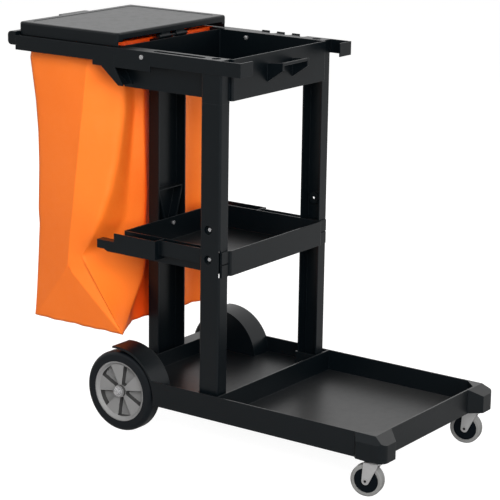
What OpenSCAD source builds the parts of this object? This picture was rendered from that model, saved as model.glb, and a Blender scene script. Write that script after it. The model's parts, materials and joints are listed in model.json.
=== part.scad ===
// Janitor cart: a platform base, a middle shelf and a top tray on two channel posts and one
// rear column, a bag frame with a hinged lid behind them, two large rear wheels and two casters.
// Millimetres, +Z up, +X towards the platform end, origin on the floor under the middle of the cart.

/* [Rear wheels] */
// Diameter of a rear wheel over its tyre
wheel_d = 200; // [190:1:214]
// Width of a rear tyre
wheel_w = 42; // [34:1:46]
// Diameter of the hub's rim, inside the tyre
rim_d = 150; // [130:1:160]
// Radius of the tyre's shoulders
tyre_round = 11; // [5:0.5:15]
// Distance from the base's side in to the tyre's outer face
wheel_inset = 6.5; // [3:0.5:10]
// Number of spokes in the hub
spoke_count = 5; // [3:1:8]
// Diameter of the steel rear axle
axle_d = 12; // [10:0.5:14]
// Diameter of the washer on each axle end
washer_d = 25; // [20:1:30]

/* [Casters] */
// Diameter of a caster wheel
caster_d = 76; // [72:1:78]
// Width of a caster's tread
tread_w = 24; // [18:1:28]
// Diameter of a caster's dark hub disc
caster_hub_d = 58; // [46:1:60]
// Distance from the swivel axis back to the wheel's axle
caster_trail = 18; // [12:1:24]
// Angle that the casters are turned in this pose
caster_turn = 12; // [-40:1:40]
// Thickness of the fork's sheet steel
fork_t = 2.5; // [2:0.5:3]
// Diameter of the caster's stem
stem_d = 11; // [9:0.5:13]
// Length of the stem inside the base
stem_l = 46; // [25:1:52]
// Diameter of the caster wheel's axle
caster_axle_d = 8; // [6:0.5:10]

/* [Base] */
// Height of the base's rim above the floor
base_top = 148.5; // [140:0.5:160]
// Height of the base's side walls
base_h = 60; // [50:0.5:62]
// Length of the front platform, inside
platform_l = 432.5; // [300:0.5:520]
// Thickness of the base's walls
base_wall = 4; // [3:0.5:6]
// Thickness of the base's floors
floor_t = 3.5; // [2.5:0.5:5]
// Height of the front floor's underside above the lower edge
front_lift = 6; // [4:0.5:12]
// Gap between the posts and the base's side walls
side_room = 11.5; // [9:0.5:20]
// Gap between a tyre and its fender
fender_gap = 10; // [6:0.5:14]
// Thickness of a fender
fender_t = 5; // [3:0.5:6]
// Distance that a fender reaches behind the axle
fender_back = 15; // [0:1:40]
// Width of a wheel well
well_w = 61.5; // [56:0.5:66]
// Leg of the triangular pillar in each front corner
corner_leg = 40; // [34:1:50]
// Height of the collars round the posts' feet
collar_h = 34; // [20:1:36]

/* [Bumpers] */
// Distance that a bumper stands out at the front
bumper_x = 29; // [14:0.5:34]
// Distance that a bumper stands out at the side
bumper_y = 11.5; // [8:0.5:16]
// Length of a bumper along the side of the base
bumper_side = 44; // [38:1:80]
// Length of a bumper along the front of the base
bumper_front = 41; // [38:0.5:90]
// Height of the ridge below the base's rim
bumper_ridge = 17.5; // [12:0.5:30]
// Plan radius of a bumper's corner
bumper_round = 20; // [8:1:24]
// Distance over which a bumper's front end runs out to the base's wall
bumper_slant = 25; // [10:1:30]

/* [Posts and column] */
// Distance from the rear axle forward to the posts
post_x = 235; // [200:1:260]
// Length of a post's section along the cart
post_l = 56.5; // [50:0.5:64]
// Depth of a post's section across the cart
post_d = 33.5; // [31:0.5:40]
// Wall thickness of a post
post_wall = 3.5; // [2.5:0.5:5]
// Diameter of the screw recesses in the posts
recess_d = 22; // [16:1:24]
// Depth of the screw recesses in the posts
recess_depth = 9; // [5:0.5:12]
// Height of the upper screw recess above the lower one
recess_pitch = 71; // [50:1:120]
// Width of the rear column
column_w = 108; // [96:1:130]
// Depth of the rear column
column_d = 30; // [24:1:36]
// Wall thickness of the rear column
column_wall = 3.5; // [2.5:0.5:5]

/* [Decks] */
// Width of the shelf and of the top tray
deck_w = 380; // [340:1:420]
// Distance from the rear axle back to the decks' rear walls
deck_back = 19; // [15:1:30]
// Distance from the posts forward to the decks' front walls
deck_lead = 8.5; // [8:0.5:30]
// Wall thickness of the decks
deck_wall = 3; // [2.5:0.5:4]
// Plan radius of the decks' front corners
deck_round = 5; // [4:1:16]
// Height of the shelf's rim above the floor
shelf_top = 491; // [440:1:560]
// Height of the shelf's walls
shelf_h = 60; // [55:1:80]
// Height of the top tray's rim above the floor
tray_top = 938; // [880:1:980]
// Height of the top tray's walls
tray_h = 96; // [80:1:120]
// Length of the side troughs on the shelf
trough_l = 124; // [90:1:160]
// Depth of the side troughs
trough_h = 47; // [36:1:54]
// Height of the guard strip between a trough and a post
guard_h = 36; // [24:1:44]
// Distance from a trough's outer face in to the guard strip
guard_in = 15; // [10:0.5:20]
// Length of the tongue behind each trough
tongue_l = 52; // [30:1:70]
// Width of that tongue
tongue_w = 23; // [16:1:30]

/* [Rails] */
// Height of the rails along the top tray
rail_h = 33; // [28:1:40]
// Height of the rails' deep rear part
rail_deep_h = 46; // [42:1:56]
// Length of the rails' deep rear part
rail_deep_l = 109; // [90:1:130]
// Wall thickness of the rails
rail_t = 3; // [2.5:0.5:4]
// Distance that the rails' hooks reach past the tray's front wall
hook_l = 48; // [30:1:60]
// Length of the turned-in end of each hook
hook_turn = 48; // [30:1:60]
// Length of the slot in the right rail
slot_l = 147; // [100:1:150]
// Width of that slot
slot_w = 17; // [10:1:20]
// Diameter of the tool holes in the rails
tool_hole_d = 22; // [16:1:24]
// Number of tool notches in the left rail
notch_count = 3; // [1:1:4]
// Width of a tool notch
notch_w = 23; // [16:1:28]
// Distance from one notch to the next
notch_pitch = 45; // [36:1:50]
// Depth of the socket sleeves below the tray's floor
sleeve_drop = 5; // [2:1:30]

/* [Front hooks] */
// Distance from the middle of the tray to the middle of a front hook
front_hook_y = 51; // [40:1:90]
// Thickness of a front hook's plate
front_hook_t = 7; // [4:0.5:12]
// Distance that a front hook stands out
front_hook_out = 43; // [30:1:60]
// Height of a front hook
front_hook_h = 43; // [36:1:60]
// Thickness of the bar between the front hooks
front_bar_t = 7; // [5:1:10]

/* [Bag frame] */
// Length of the bag frame behind the tray
frame_l = 306; // [240:1:360]
// Height of the bag frame's arms
arm_h = 35; // [30:1:40]
// Length of the tongue that slides into each rail
arm_tongue = 104; // [90:1:108]
// Height that the gussets reach below the arms
gusset_drop = 53; // [45:1:70]
// Thickness of the cross members
cross_t = 10; // [8:1:14]
// Distance from the tray's rear wall back to the front cross member
cross_gap = 33; // [32:1:50]
// Depth of the handle along the cart
handle_d = 24; // [20:1:34]
// Height of the handle
handle_h = 33; // [28:1:42]
// Height of the handle's top above the tray's rim
handle_rise = 9; // [0:1:16]

/* [Lid] */
// Width of the lid
lid_w = 428; // [400:1:432]
// Height of the lid over its rim
lid_h = 31; // [26:1:40]
// Wall thickness of the lid
lid_t = 3; // [2.5:0.5:4]
// Plan radius of the lid's corners
lid_round = 9; // [9:1:14]
// Distance that the lid reaches forward over the tray's rear wall
lid_lead = 3; // [0:0.5:3.5]
// Height of the gap under the lid's front edge
lid_front_gap = 15; // [13:1:17]
// Width of the lid's rear grip
grip_w = 104; // [60:1:160]
// Distance that the lid's grip stands out
grip_out = 16; // [10:1:22]
// Diameter of the hinge pin
pin_d = 6; // [5:0.5:7]

/* [Bag] */
// Length of the bag below the rim
bag_drop = 712; // [500:1:715]
// Thickness of the bag's sheet in this solid
bag_t = 2; // [1.5:0.5:3]

/* [Fits] */
// Clearance between pieces that slot together
fit = 0.5; // [0.3:0.1:0.8]
// Radial clearance of a turning shaft
run = 0.05; // [0.03:0.01:0.08]
// Radial clearance of a shaft that stays still
snug = 0.02; // [0.01:0.01:0.03]
// Gap between a turning piece and the face beside it
side_gap = 0.5; // [0.3:0.1:1]

/* [Hidden] */
$fn = 64;
// Overlap that joins or cuts cleanly
eps = 0.1;

// Colours as the photograph shows them
black_plastic = [0.09, 0.09, 0.095];
dark_rubber = [0.05, 0.05, 0.055];
hub_grey = [0.56, 0.56, 0.56];
tread_grey = [0.58, 0.58, 0.57];
zinc = [0.70, 0.70, 0.69];
steel = [0.76, 0.76, 0.77];
bag_orange = [0.94, 0.46, 0.13];

// Screws and bolts
screw_r = 3;
screw_head_r = 4.5;
screw_head_h = 3.5;
nut_h = 4;
bolt_head_r = 5.2;

// Heights
axle_z = wheel_d / 2;
axle_r = axle_d / 2;
base_bottom = base_top - base_h;
front_under = base_bottom + front_lift;
front_floor = front_under + floor_t;
bumper_low = base_bottom + 1;
axle_cover = 1;
rear_under = axle_z + axle_r + axle_cover;
rear_floor = rear_under + floor_t;
shelf_bottom = shelf_top - shelf_h;
tray_bottom = tray_top - tray_h;
sleeve_low = tray_bottom - sleeve_drop;

// Half widths
deck_y = deck_w / 2;
post_in = deck_y + fit;
post_out = post_in + post_d;
rail_y = post_out + fit + rail_t;
base_y = post_out + side_room + base_wall;
well_y = base_y - well_w;
bumper_out_y = base_y + bumper_y;

// Lengths from the rear axle, forwards positive
post_front = post_x + post_l;
post_mid = post_x + post_l / 2;
post_round = 6;
// The post's top is narrower, so that the tray's sleeve lies flush with it
post_neck = 3;
socket_y = (post_in + post_out - post_neck - post_wall) / 2;
divider_gap = 6;
divider_x = post_front + divider_gap;
base_front = divider_x + base_wall + platform_l + base_wall;
bumper_out_x = base_front + bumper_x;
deck_front = post_front + deck_lead;
hook_x = deck_front + hook_l;
column_front = -deck_back - fit;
column_back = column_front - column_d;
box_front = column_front + fit + base_wall;
base_back = column_back - fit - base_wall;
frame_back = -deck_back - frame_l;
handle_back = frame_back - handle_d;
cross_x = -deck_back - cross_gap - cross_t;

// The part's origin lies midway between the handle and the bumpers
origin_x = (bumper_out_x + handle_back) / 2;

// Rear wheels
wheel_y = base_y - wheel_inset - wheel_w / 2;
fender_r = wheel_d / 2 + fender_gap + fender_t;
bush_r = axle_r + 3;
washer_t = 2;
axle_boss_t = 3.5;
axle_boss_l = 30;
hub_face = wheel_y + wheel_w / 2 + 1.5;
hub_inner = wheel_y - well_y - 1;

// Casters
swivel_x = base_front - corner_leg / 5;
swivel_y = base_y - corner_leg * 0.4375;
caster_wheel_x = swivel_x - caster_trail;
caster_axle_r = caster_axle_d / 2;
fork_gap = 1.5;
fork_in = tread_w / 2 + fork_gap;
fork_out = fork_in + fork_t;
rivet_r = 8.5;
rivet_h = 2;
wheel_top_gap = 1;
fork_under = caster_d + wheel_top_gap + rivet_h + side_gap / 2;
fork_top = fork_under + fork_t;
race_r = 16;
race_h = 2;
stem_seat = fork_top + side_gap / 2 + race_h;
neck_r = stem_d / 2 + 0.5;
boss_r = race_r + 1;

// Screw heights and places
shelf_screw_drop = 21;
shelf_screw_z = shelf_top - shelf_screw_drop;
recess_x = post_x + post_l * 0.43;
recess_z = [shelf_screw_z, shelf_screw_z + recess_pitch];
recess_floor = 3;
recess_in = post_out - recess_depth;
cup_in = recess_in - recess_floor;
column_screw_l = 18;
column_screw_drop = 15;
column_screw_rise = 38;
column_screw_z = [shelf_top - column_screw_drop, tray_bottom + column_screw_rise];
frame_bolt_in = 85;
frame_bolt_drop = 14;
frame_bolt_x = -deck_back + frame_bolt_in;
frame_bolt_z = tray_top - frame_bolt_drop;
handle_wall = 3.5;

// Hinge
hinge_x = -deck_back - 2.5;
hinge_z = tray_top + 6;
hinge_r = 5.5;
column_top = tray_top - 6;
bracket_t = 3;
ear_w = 8;
ear_out = column_w / 2;
ear_in = ear_out - ear_w;
lug_out = ear_in - side_gap;
lug_w = 34;
lid_bottom = tray_top + 1;
lid_top = lid_bottom + lid_h;
lid_y = lid_w / 2;
lid_front = -deck_back + lid_lead;
lid_edge = 4.5;
lid_corner_gap = 10;
lid_corner_lead = 2;
lid_leg = 18;
panel_edge = 22;
panel_depth = 0.8;

// Rails
top_plate_under = tray_top - rail_t;
strip_in = rail_y - rail_t;
rail_mid = (deck_y + rail_y) / 2;
hook_drop = 25;
slot_x = post_x - slot_l;
notch_x = 120;
notch_depth = 18;
notch_rise = 3;

// Shelf sides
trough_front = -deck_back + 1 + trough_l;
guard_y = rail_y - guard_in;

// Gussets, lengths from the arms' front ends
gusset_plate_back = 63;
gusset_top_back = 37;
gusset_top_lead = 5;
gusset_low_lead = 15;
gusset_low_l = 15;
gusset_edge = 4;

// Bag
bag_mid = (frame_back + cross_t + cross_x) / 2;
bag_a = (cross_x - frame_back - cross_t) / 2 - 1;
bag_b = deck_y - 1.5;
bag_bottom = tray_top - bag_drop;
bag_lip = 6;
bag_side_lip = 18;
bag_lip_t = 1.6;
flap_h = 24;
flap_t = 1.2;

// Shared shapes

// A block between two places along each axis
module block(x, y, z)
    translate([x[0], y[0], z[0]])
        cube([x[1] - x[0], y[1] - y[0], z[1] - z[0]]);

// A flat rectangle with round corners
module round_rect(x, y, r) {
    translate([x[0] + r, y[0]])
        square([x[1] - x[0] - 2 * r, y[1] - y[0]]);
    translate([x[0], y[0] + r])
        square([x[1] - x[0], y[1] - y[0] - 2 * r]);
    for (cx = [x[0] + r, x[1] - r], cy = [y[0] + r, y[1] - r])
        translate([cx, cy])
            circle(r);
}

// A block with round upright edges
module round_block(x, y, z, r)
    translate([0, 0, z[0]])
        linear_extrude(z[1] - z[0])
            round_rect(x, y, r);

// A side view, X and Z, carried across the cart
module side_view(y)
    translate([0, y[1], 0])
        rotate([90, 0, 0])
            linear_extrude(y[1] - y[0])
                children();

// An end view, Y and Z, carried along the cart
module end_view(x)
    translate([x[0], 0, 0])
        rotate([90, 0, 90])
            linear_extrude(x[1] - x[0])
                children();

// A round bar across the cart
module rod_y(x, z, r, y)
    translate([x, y[1], z])
        rotate([90, 0, 0])
            cylinder(r = r, h = y[1] - y[0]);

// A round bar along the cart
module rod_x(y, z, r, x)
    translate([x[0], y, z])
        rotate([0, 90, 0])
            cylinder(r = r, h = x[1] - x[0]);

module on_right()
    mirror([0, 1, 0])
        children();

module on_both() {
    children();
    on_right()
        children();
}

// Moves a piece from the rear axle's frame to the part's origin
module place()
    translate([-origin_x, 0, 0])
        children();

// Base

// The side view of a wheel well's inner wall
module well_wall_outline()
    intersection() {
        translate([0, axle_z])
            circle(fender_r);
        polygon([[base_back, base_bottom], [base_back, base_top],
                 [-fender_back, axle_z + fender_r], [fender_r, axle_z + fender_r],
                 [fender_r, base_bottom]]);
    }

// The side view of a fender
module fender_outline()
    intersection() {
        difference() {
            translate([0, axle_z])
                circle(fender_r);
            translate([0, axle_z])
                circle(fender_r - fender_t);
        }
        translate([-fender_back, base_bottom])
            square([fender_r + fender_back, axle_z + fender_r - base_bottom]);
    }

// The room inside the base behind the divider, between two heights
module rear_room(z)
    difference() {
        union() {
            block([box_front, fender_r], [-well_y + base_wall, well_y - base_wall], z);
            block([fender_r / 2, divider_x], [-base_y + base_wall, base_y - base_wall], z);
        }
        on_both()
            rod_y(0, axle_z, fender_r, [well_y - base_wall, base_y]);
    }

// The box that holds the column's foot, hollow from below
module column_socket_room()
    difference() {
        block([base_back + base_wall, box_front - base_wall],
              [-well_y + base_wall, well_y - base_wall], [base_bottom - eps, base_top - base_wall]);
        block([base_back, box_front],
              [-ear_out - fit - base_wall, ear_out + fit + base_wall], [rear_under, base_top]);
    }

module base_ribs() {
    rib_t = 3;
    rib_up = base_bottom + 1;
    for (y = [-deck_y / 2, 0, deck_y / 2])
        block([divider_x, base_front - eps], [y - rib_t / 2, y + rib_t / 2], [rib_up, front_under + eps]);
    for (k = [1 : 3])
        block([divider_x + k * platform_l / 4, divider_x + k * platform_l / 4 + rib_t],
              [-base_y + eps, base_y - eps], [rib_up, front_under + eps]);
    for (y = [-deck_y / 3, deck_y / 3])
        block([box_front - eps, divider_x + eps], [y - rib_t / 2, y + rib_t / 2], [rib_up, rear_under + eps]);
    block([post_x - rib_t, post_x], [-base_y + eps, base_y - eps], [rib_up, rear_under + eps]);
}

module post_collar() {
    collar_t = 3.5;
    difference() {
        block([post_x - fit - collar_t, post_front + fit + collar_t],
              [post_in - fit - collar_t, post_out + fit + collar_t],
              [rear_floor - eps, rear_floor + collar_h]);
        block([post_x - fit, post_front + fit], [post_in - fit, post_out + fit],
              [rear_floor - 2 * eps, rear_floor + collar_h + eps]);
    }
}

// The pillar that takes a caster's stem in a front corner
module corner_pillar() {
    translate([0, 0, stem_seat])
        linear_extrude(base_top - stem_seat)
            polygon([[base_front, base_y], [base_front - corner_leg, base_y],
                     [base_front, base_y - corner_leg]]);
    translate([swivel_x, swivel_y, stem_seat])
        cylinder(r = boss_r, h = front_floor - stem_seat);
}

module base_tray()
    color(black_plastic)
        difference() {
            union() {
                difference() {
                    union() {
                        block([fender_r / 2, base_front], [-base_y, base_y], [base_bottom, base_top]);
                        block([base_back, fender_r], [-well_y, well_y], [base_bottom, base_top]);
                    }
                    block([divider_x + base_wall, base_front - base_wall],
                          [-base_y + base_wall, base_y - base_wall], [front_floor, base_top + eps]);
                    block([divider_x + base_wall, base_front - base_wall],
                          [-base_y + base_wall, base_y - base_wall], [base_bottom - eps, front_under]);
                    rear_room([rear_floor, base_top + eps]);
                    rear_room([base_bottom - eps, rear_under]);
                    column_socket_room();
                }
                on_both() {
                    side_view([well_y - base_wall, well_y])
                        well_wall_outline();
                    side_view([well_y - eps, base_y])
                        fender_outline();
                    post_collar();
                    corner_pillar();
                    rod_y(0, axle_z, axle_r + axle_boss_t, [well_y - axle_boss_l, well_y - eps]);
                }
                base_ribs();
            }
            on_both() {
                rod_y(0, axle_z, fender_r - fender_t, [well_y, base_y + eps]);
                translate([swivel_x, swivel_y, stem_seat - eps])
                    cylinder(r = stem_d / 2 + snug, h = stem_l + 2 * eps);
            }
            rod_y(0, axle_z, axle_r + snug, [-base_y, base_y]);
            block([column_back - fit, column_front + fit], [-ear_out - fit, ear_out + fit],
                  [rear_floor, base_top + eps]);
        }

// The plan of a bumper: a round corner, and ends that run out to the base's walls
module bumper_plan() {
    side_end = base_front - bumper_side;
    front_end = base_y - bumper_front;
    intersection() {
        round_rect([0, bumper_out_x], [0, bumper_out_y], bumper_round);
        polygon([[side_end - bumper_y, front_end - bumper_slant], [base_front, front_end - bumper_slant],
                 [bumper_out_x, front_end], [bumper_out_x, bumper_out_y],
                 [side_end, bumper_out_y], [side_end - bumper_y, base_y]]);
    }
}

// A bumper that wraps a front corner of the base
module corner_bumper() {
    color(black_plastic)
        difference() {
            intersection() {
                translate([0, 0, bumper_low])
                    linear_extrude(base_top - bumper_low)
                        bumper_plan();
                side_view([0, bumper_out_y + eps])
                    polygon([[0, bumper_low], [bumper_out_x, bumper_low],
                             [bumper_out_x, base_top - bumper_ridge],
                             [base_front + fit, base_top], [0, base_top]]);
                end_view([0, bumper_out_x + eps])
                    polygon([[0, bumper_low], [bumper_out_y, bumper_low],
                             [bumper_out_y, base_top - bumper_ridge],
                             [base_y + fit, base_top], [0, base_top]]);
            }
            block([0, base_front], [0, base_y], [0, base_top + eps]);
            translate([swivel_x, swivel_y, 0])
                cylinder(r = boss_r + fit, h = front_floor + fit);
        }
}

// Posts and column

// The plan of a post: round outside, square towards the middle of the cart
module post_plan(x, y_out) {
    round_rect(x, [post_in, y_out], post_round);
    translate([x[0], post_in])
        square([x[1] - x[0], 2 * post_round]);
}

module post_channel(x, y_out, z)
    difference() {
        translate([0, 0, z[0]])
            linear_extrude(z[1] - z[0])
                post_plan(x, y_out);
        block([x[0] + post_wall, x[1] - post_wall], [post_in - eps, y_out - post_wall],
              [z[0] - eps, z[1] + eps]);
    }

// A channel post, open towards the middle of the cart
module front_post() {
    neck_root = 10;
    slot_in = 6.5;
    slot_out = 1.5;
    slot_depth = 8;
    slot_over = 5;
    color(black_plastic)
        difference() {
            union() {
                post_channel([post_x, post_front], post_out, [rear_floor, sleeve_low]);
                post_channel([post_x + post_neck, post_front - post_neck], post_out - post_neck,
                             [sleeve_low - neck_root, top_plate_under]);
                for (z = recess_z)
                    rod_y(recess_x, z, recess_d / 2 + recess_floor, [cup_in, post_out - eps]);
            }
            for (z = recess_z) {
                rod_y(recess_x, z, recess_d / 2, [recess_in, post_out + eps]);
                rod_y(recess_x, z, screw_r + snug, [cup_in - eps, post_out]);
            }
            block([post_front - slot_depth, post_front + eps], [post_out - slot_in, post_out - slot_out],
                  [shelf_bottom, shelf_top + slot_over]);
        }
}

// A screw across the cart, its head on the outer side
module screw_y(x, z, head_y, tip_y) {
    rod_y(x, z, screw_r, [tip_y, head_y + eps]);
    rod_y(x, z, screw_head_r, [head_y, head_y + screw_head_h]);
}

module post_screws()
    color(steel) {
        on_both()
            screw_y(recess_x, recess_z[0], recess_in, deck_y + 4);
        on_right() {
            screw_y(recess_x, recess_z[1], recess_in, cup_in - nut_h);
            rod_y(recess_x, recess_z[1], screw_head_r, [cup_in - nut_h, cup_in]);
        }
    }

module column_ribs() {
    rib_t = 2.5;
    rib_rise = 22;
    rib_low = shelf_bottom;
    rib_high = recess_z[1] + rib_rise;
    web_x = column_back + column_wall - eps;
    rib_x = column_front - 4;
    for (z = [rib_low, rib_high])
        block([web_x, rib_x], [-ear_out + eps, ear_out - eps], [z - rib_t / 2, z + rib_t / 2]);
    for (side = [-1, 1])
        end_view([web_x, rib_x])
            polygon([[side * (ear_out - column_wall), rib_high],
                     [side * (ear_out - column_wall - 2 * rib_t), rib_high],
                     [side * rib_t, rib_low], [side * 3 * rib_t, rib_low]]);
    for (z = column_screw_z)
        rod_x(0, z, 8, [web_x, column_front]);
}

// The wide rear column, a channel open to the front
module rear_column()
    color(black_plastic)
        difference() {
            union() {
                difference() {
                    block([column_back, column_front], [-ear_out, ear_out], [rear_floor, column_top]);
                    block([column_back + column_wall, column_front + eps],
                          [-ear_out + column_wall, ear_out - column_wall],
                          [rear_floor + column_wall, column_top - bracket_t]);
                }
                column_ribs();
            }
            for (z = column_screw_z)
                rod_x(0, z, screw_r + snug, [column_back + column_wall + 4, column_front + eps]);
            for (y = bracket_screw_y)
                translate([bracket_screw_x, y, column_top - 12])
                    cylinder(r = screw_r + snug, h = 13);
        }

module column_screws()
    color(steel)
        for (z = column_screw_z) {
            rod_x(0, z, screw_r, [column_front - column_screw_l, -deck_back + deck_wall + eps]);
            rod_x(0, z, screw_head_r, [-deck_back + deck_wall, -deck_back + deck_wall + screw_head_h]);
        }

// Decks

// An open tray with round front corners
module deck_shell(z)
    difference() {
        round_block([-deck_back, deck_front], [-deck_y, deck_y], z, deck_round);
        round_block([-deck_back + deck_wall, deck_front - deck_wall],
                    [-deck_y + deck_wall, deck_y - deck_wall],
                    [z[0] + deck_wall, z[1] + eps], deck_round - deck_wall / 2);
        rod_x(0, column_screw_z[z[0] > shelf_top ? 1 : 0], screw_r + snug,
              [-deck_back - eps, -deck_back + deck_wall + eps]);
    }

// The open trough and its tongue on one side of the shelf
module shelf_trough() {
    trough_low = shelf_top - trough_h;
    tongue_low = trough_low + 5;
    tongue_top = shelf_top - 21;
    block([-deck_back, trough_front], [strip_in, rail_y], [trough_low, shelf_top]);
    block([-deck_back, trough_front], [deck_y - eps, rail_y], [trough_low, trough_low + rail_t]);
    block([trough_front - rail_t, trough_front], [deck_y - eps, rail_y], [trough_low, shelf_top]);
    block([-deck_back, -deck_back + rail_t], [rail_y - tongue_w, rail_y], [trough_low, tongue_top]);
    difference() {
        side_view([rail_y - tongue_w, rail_y])
            polygon([[-deck_back + eps, trough_low], [-deck_back - tongue_l * 0.4, trough_low],
                     [-deck_back - tongue_l * 0.6, tongue_low], [-deck_back - tongue_l, tongue_low],
                     [-deck_back - tongue_l, tongue_top], [-deck_back + eps, tongue_top]]);
        block([-deck_back - tongue_l + rail_t, -deck_back - eps],
              [rail_y - tongue_w + rail_t, rail_y - rail_t], [trough_low - eps, tongue_top - rail_t]);
    }
}

// The strip that runs on from a trough to the post, with a web at its end
module guard_strip() {
    x = [trough_front - eps, post_x - fit];
    z = [shelf_top - guard_h, shelf_top];
    block(x, [guard_y - rail_t, guard_y], z);
    block([x[1] - rail_t, x[1]], [deck_y - eps, guard_y], z);
}

module shelf_ribs() {
    rib_t = 3;
    rib_h = 5;
    rib_end = 40;
    for (y = [-deck_y / 2, 0, deck_y / 2])
        block([-deck_back + rib_end, deck_front - rib_end], [y - rib_t / 2, y + rib_t / 2],
              [shelf_bottom - rib_h, shelf_bottom + eps]);
}

module middle_shelf()
    color(black_plastic)
        difference() {
            union() {
                deck_shell([shelf_bottom, shelf_top]);
                shelf_ribs();
                on_both() {
                    shelf_trough();
                    guard_strip();
                    shelf_boss();
                    post_clip();
                }
            }
            on_both()
                rod_y(recess_x, shelf_screw_z, screw_r + snug, [deck_y + 2, cup_in]);
        }

// The block on the shelf's side that fills the post's channel
module shelf_boss()
    block([post_x + post_wall + fit, post_front - post_wall - fit], [deck_y - eps, cup_in - fit],
          [shelf_screw_z - 18, shelf_screw_z + 18]);

// The tab on the shelf that grips a post's front face
module post_clip() {
    clip_t = 3;
    groove = 2.5;
    clip_edge = 7;
    clip_mid = (shelf_bottom + shelf_top) / 2;
    difference() {
        block([post_front + fit, post_front + fit + clip_t], [deck_y - deck_wall, post_out - clip_edge],
              [shelf_bottom, shelf_top]);
        block([post_front, post_front + fit + clip_t + eps], [post_in + fit, post_out],
              [clip_mid - groove / 2, clip_mid + groove / 2]);
    }
}

// The sleeve of the rail that takes a post's narrow top, flush with the post
module post_sleeve()
    difference() {
        union() {
            translate([0, 0, sleeve_low])
                linear_extrude(top_plate_under + eps - sleeve_low)
                    post_plan([post_x, post_front], post_out);
            block([post_x, post_front], [deck_y - eps, post_in + eps], [sleeve_low, top_plate_under + eps]);
            block([post_x, post_front], [post_out - 2 * post_round, strip_in + eps],
                  [tray_top - rail_h, top_plate_under + eps]);
        }
        block([post_x + post_neck - fit, post_front - post_neck + fit], [deck_y, post_out - post_neck + fit],
              [sleeve_low - eps, top_plate_under]);
    }

// The rail along one side of the top tray, with its hook and its post sleeve
module tray_rail() {
    block([-deck_back, post_front], [deck_y - deck_wall, rail_y], [top_plate_under, tray_top]);
    block([-deck_back, hook_x], [strip_in, rail_y], [tray_top - rail_h, tray_top]);
    block([-deck_back, -deck_back + rail_deep_l], [strip_in, rail_y], [tray_top - rail_deep_h, tray_top]);
    block([hook_x - rail_t, hook_x], [rail_y - hook_turn, rail_y], [tray_top - rail_h, tray_top]);
    post_sleeve();
}

// Heights of the front hooks: at the wall, and at the bar they carry
hook_top = tray_top - hook_drop;
bar_top = hook_top + 4.5;

// A three-cornered plate on the tray's front wall
module front_hook() {
    nose = 18;
    side_view([front_hook_y - front_hook_t / 2, front_hook_y + front_hook_t / 2])
        polygon([[deck_front - eps, hook_top], [deck_front + front_hook_out, bar_top],
                 [deck_front + front_hook_out, bar_top - nose],
                 [deck_front, hook_top - front_hook_h], [deck_front - eps, hook_top - front_hook_h]]);
}

// The round-edged bar between the two plates
module front_bar()
    side_view([-front_hook_y, front_hook_y])
        round_rect([deck_front + front_hook_out - front_bar_t, deck_front + front_hook_out],
                   [bar_top - front_bar_t, bar_top], front_bar_t / 4);

// The raised lugs before and between the notches of the left rail
module notch_lugs() {
    lug_l = notch_pitch - notch_w;
    for (k = [0 : notch_count - 1])
        block([notch_x - notch_w / 2 - lug_l + k * notch_pitch, notch_x - notch_w / 2 + k * notch_pitch],
              [strip_in, rail_y], [tray_top - eps, tray_top + notch_rise]);
}

// The open notches for broom handles in the left rail
module tool_notches()
    for (k = [0 : notch_count - 1])
        translate([notch_x + k * notch_pitch, 0, 0]) {
            block([-notch_w / 2, notch_w / 2], [rail_y - notch_depth + notch_w / 2, rail_y + eps],
                  [tray_top - notch_depth, tray_top + eps]);
            translate([0, rail_y - notch_depth + notch_w / 2, tray_top - notch_depth])
                cylinder(r = notch_w / 2, h = notch_depth + eps);
        }

module top_tray()
    color(black_plastic)
        difference() {
            union() {
                deck_shell([tray_bottom, tray_top]);
                on_both() {
                    tray_rail();
                    front_hook();
                }
                front_bar();
                notch_lugs();
            }
            on_both() {
                translate([post_mid, socket_y, top_plate_under - eps])
                    cylinder(r = tool_hole_d / 2, h = rail_t + 2 * eps);
                rod_y(frame_bolt_x, frame_bolt_z, screw_r + snug, [deck_y - deck_wall - eps, rail_y + eps]);
            }
            on_right()
                round_block([slot_x, slot_x + slot_l], [rail_mid - slot_w / 2, rail_mid + slot_w / 2],
                            [top_plate_under - eps, tray_top + eps], slot_w / 2 - eps);
            tool_notches();
        }

// Bag frame

// One arm of the frame: a channel with a tongue that slides into the tray's rail
module frame_arm() {
    arm_low = tray_top - arm_h;
    arm_front = -deck_back - fit;
    difference() {
        block([frame_back, arm_front], [deck_y, rail_y], [arm_low, tray_top]);
        block([frame_back + rail_t, arm_front - rail_t], [deck_y + rail_t, strip_in],
              [arm_low - eps, top_plate_under]);
    }
    tongue_top = top_plate_under - fit;
    tongue_out = strip_in - fit;
    difference() {
        block([arm_front - eps, -deck_back + arm_tongue], [post_in, tongue_out],
              [arm_low - 4, tongue_top]);
        block([arm_front - 2 * eps, -deck_back + arm_tongue + eps], [post_in + rail_t, tongue_out - rail_t],
              [arm_low - 5, tongue_top - rail_t]);
    }
    block([arm_front - rail_t, arm_front], [post_in, tongue_out], [arm_low - 4, top_plate_under]);
}

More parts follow.
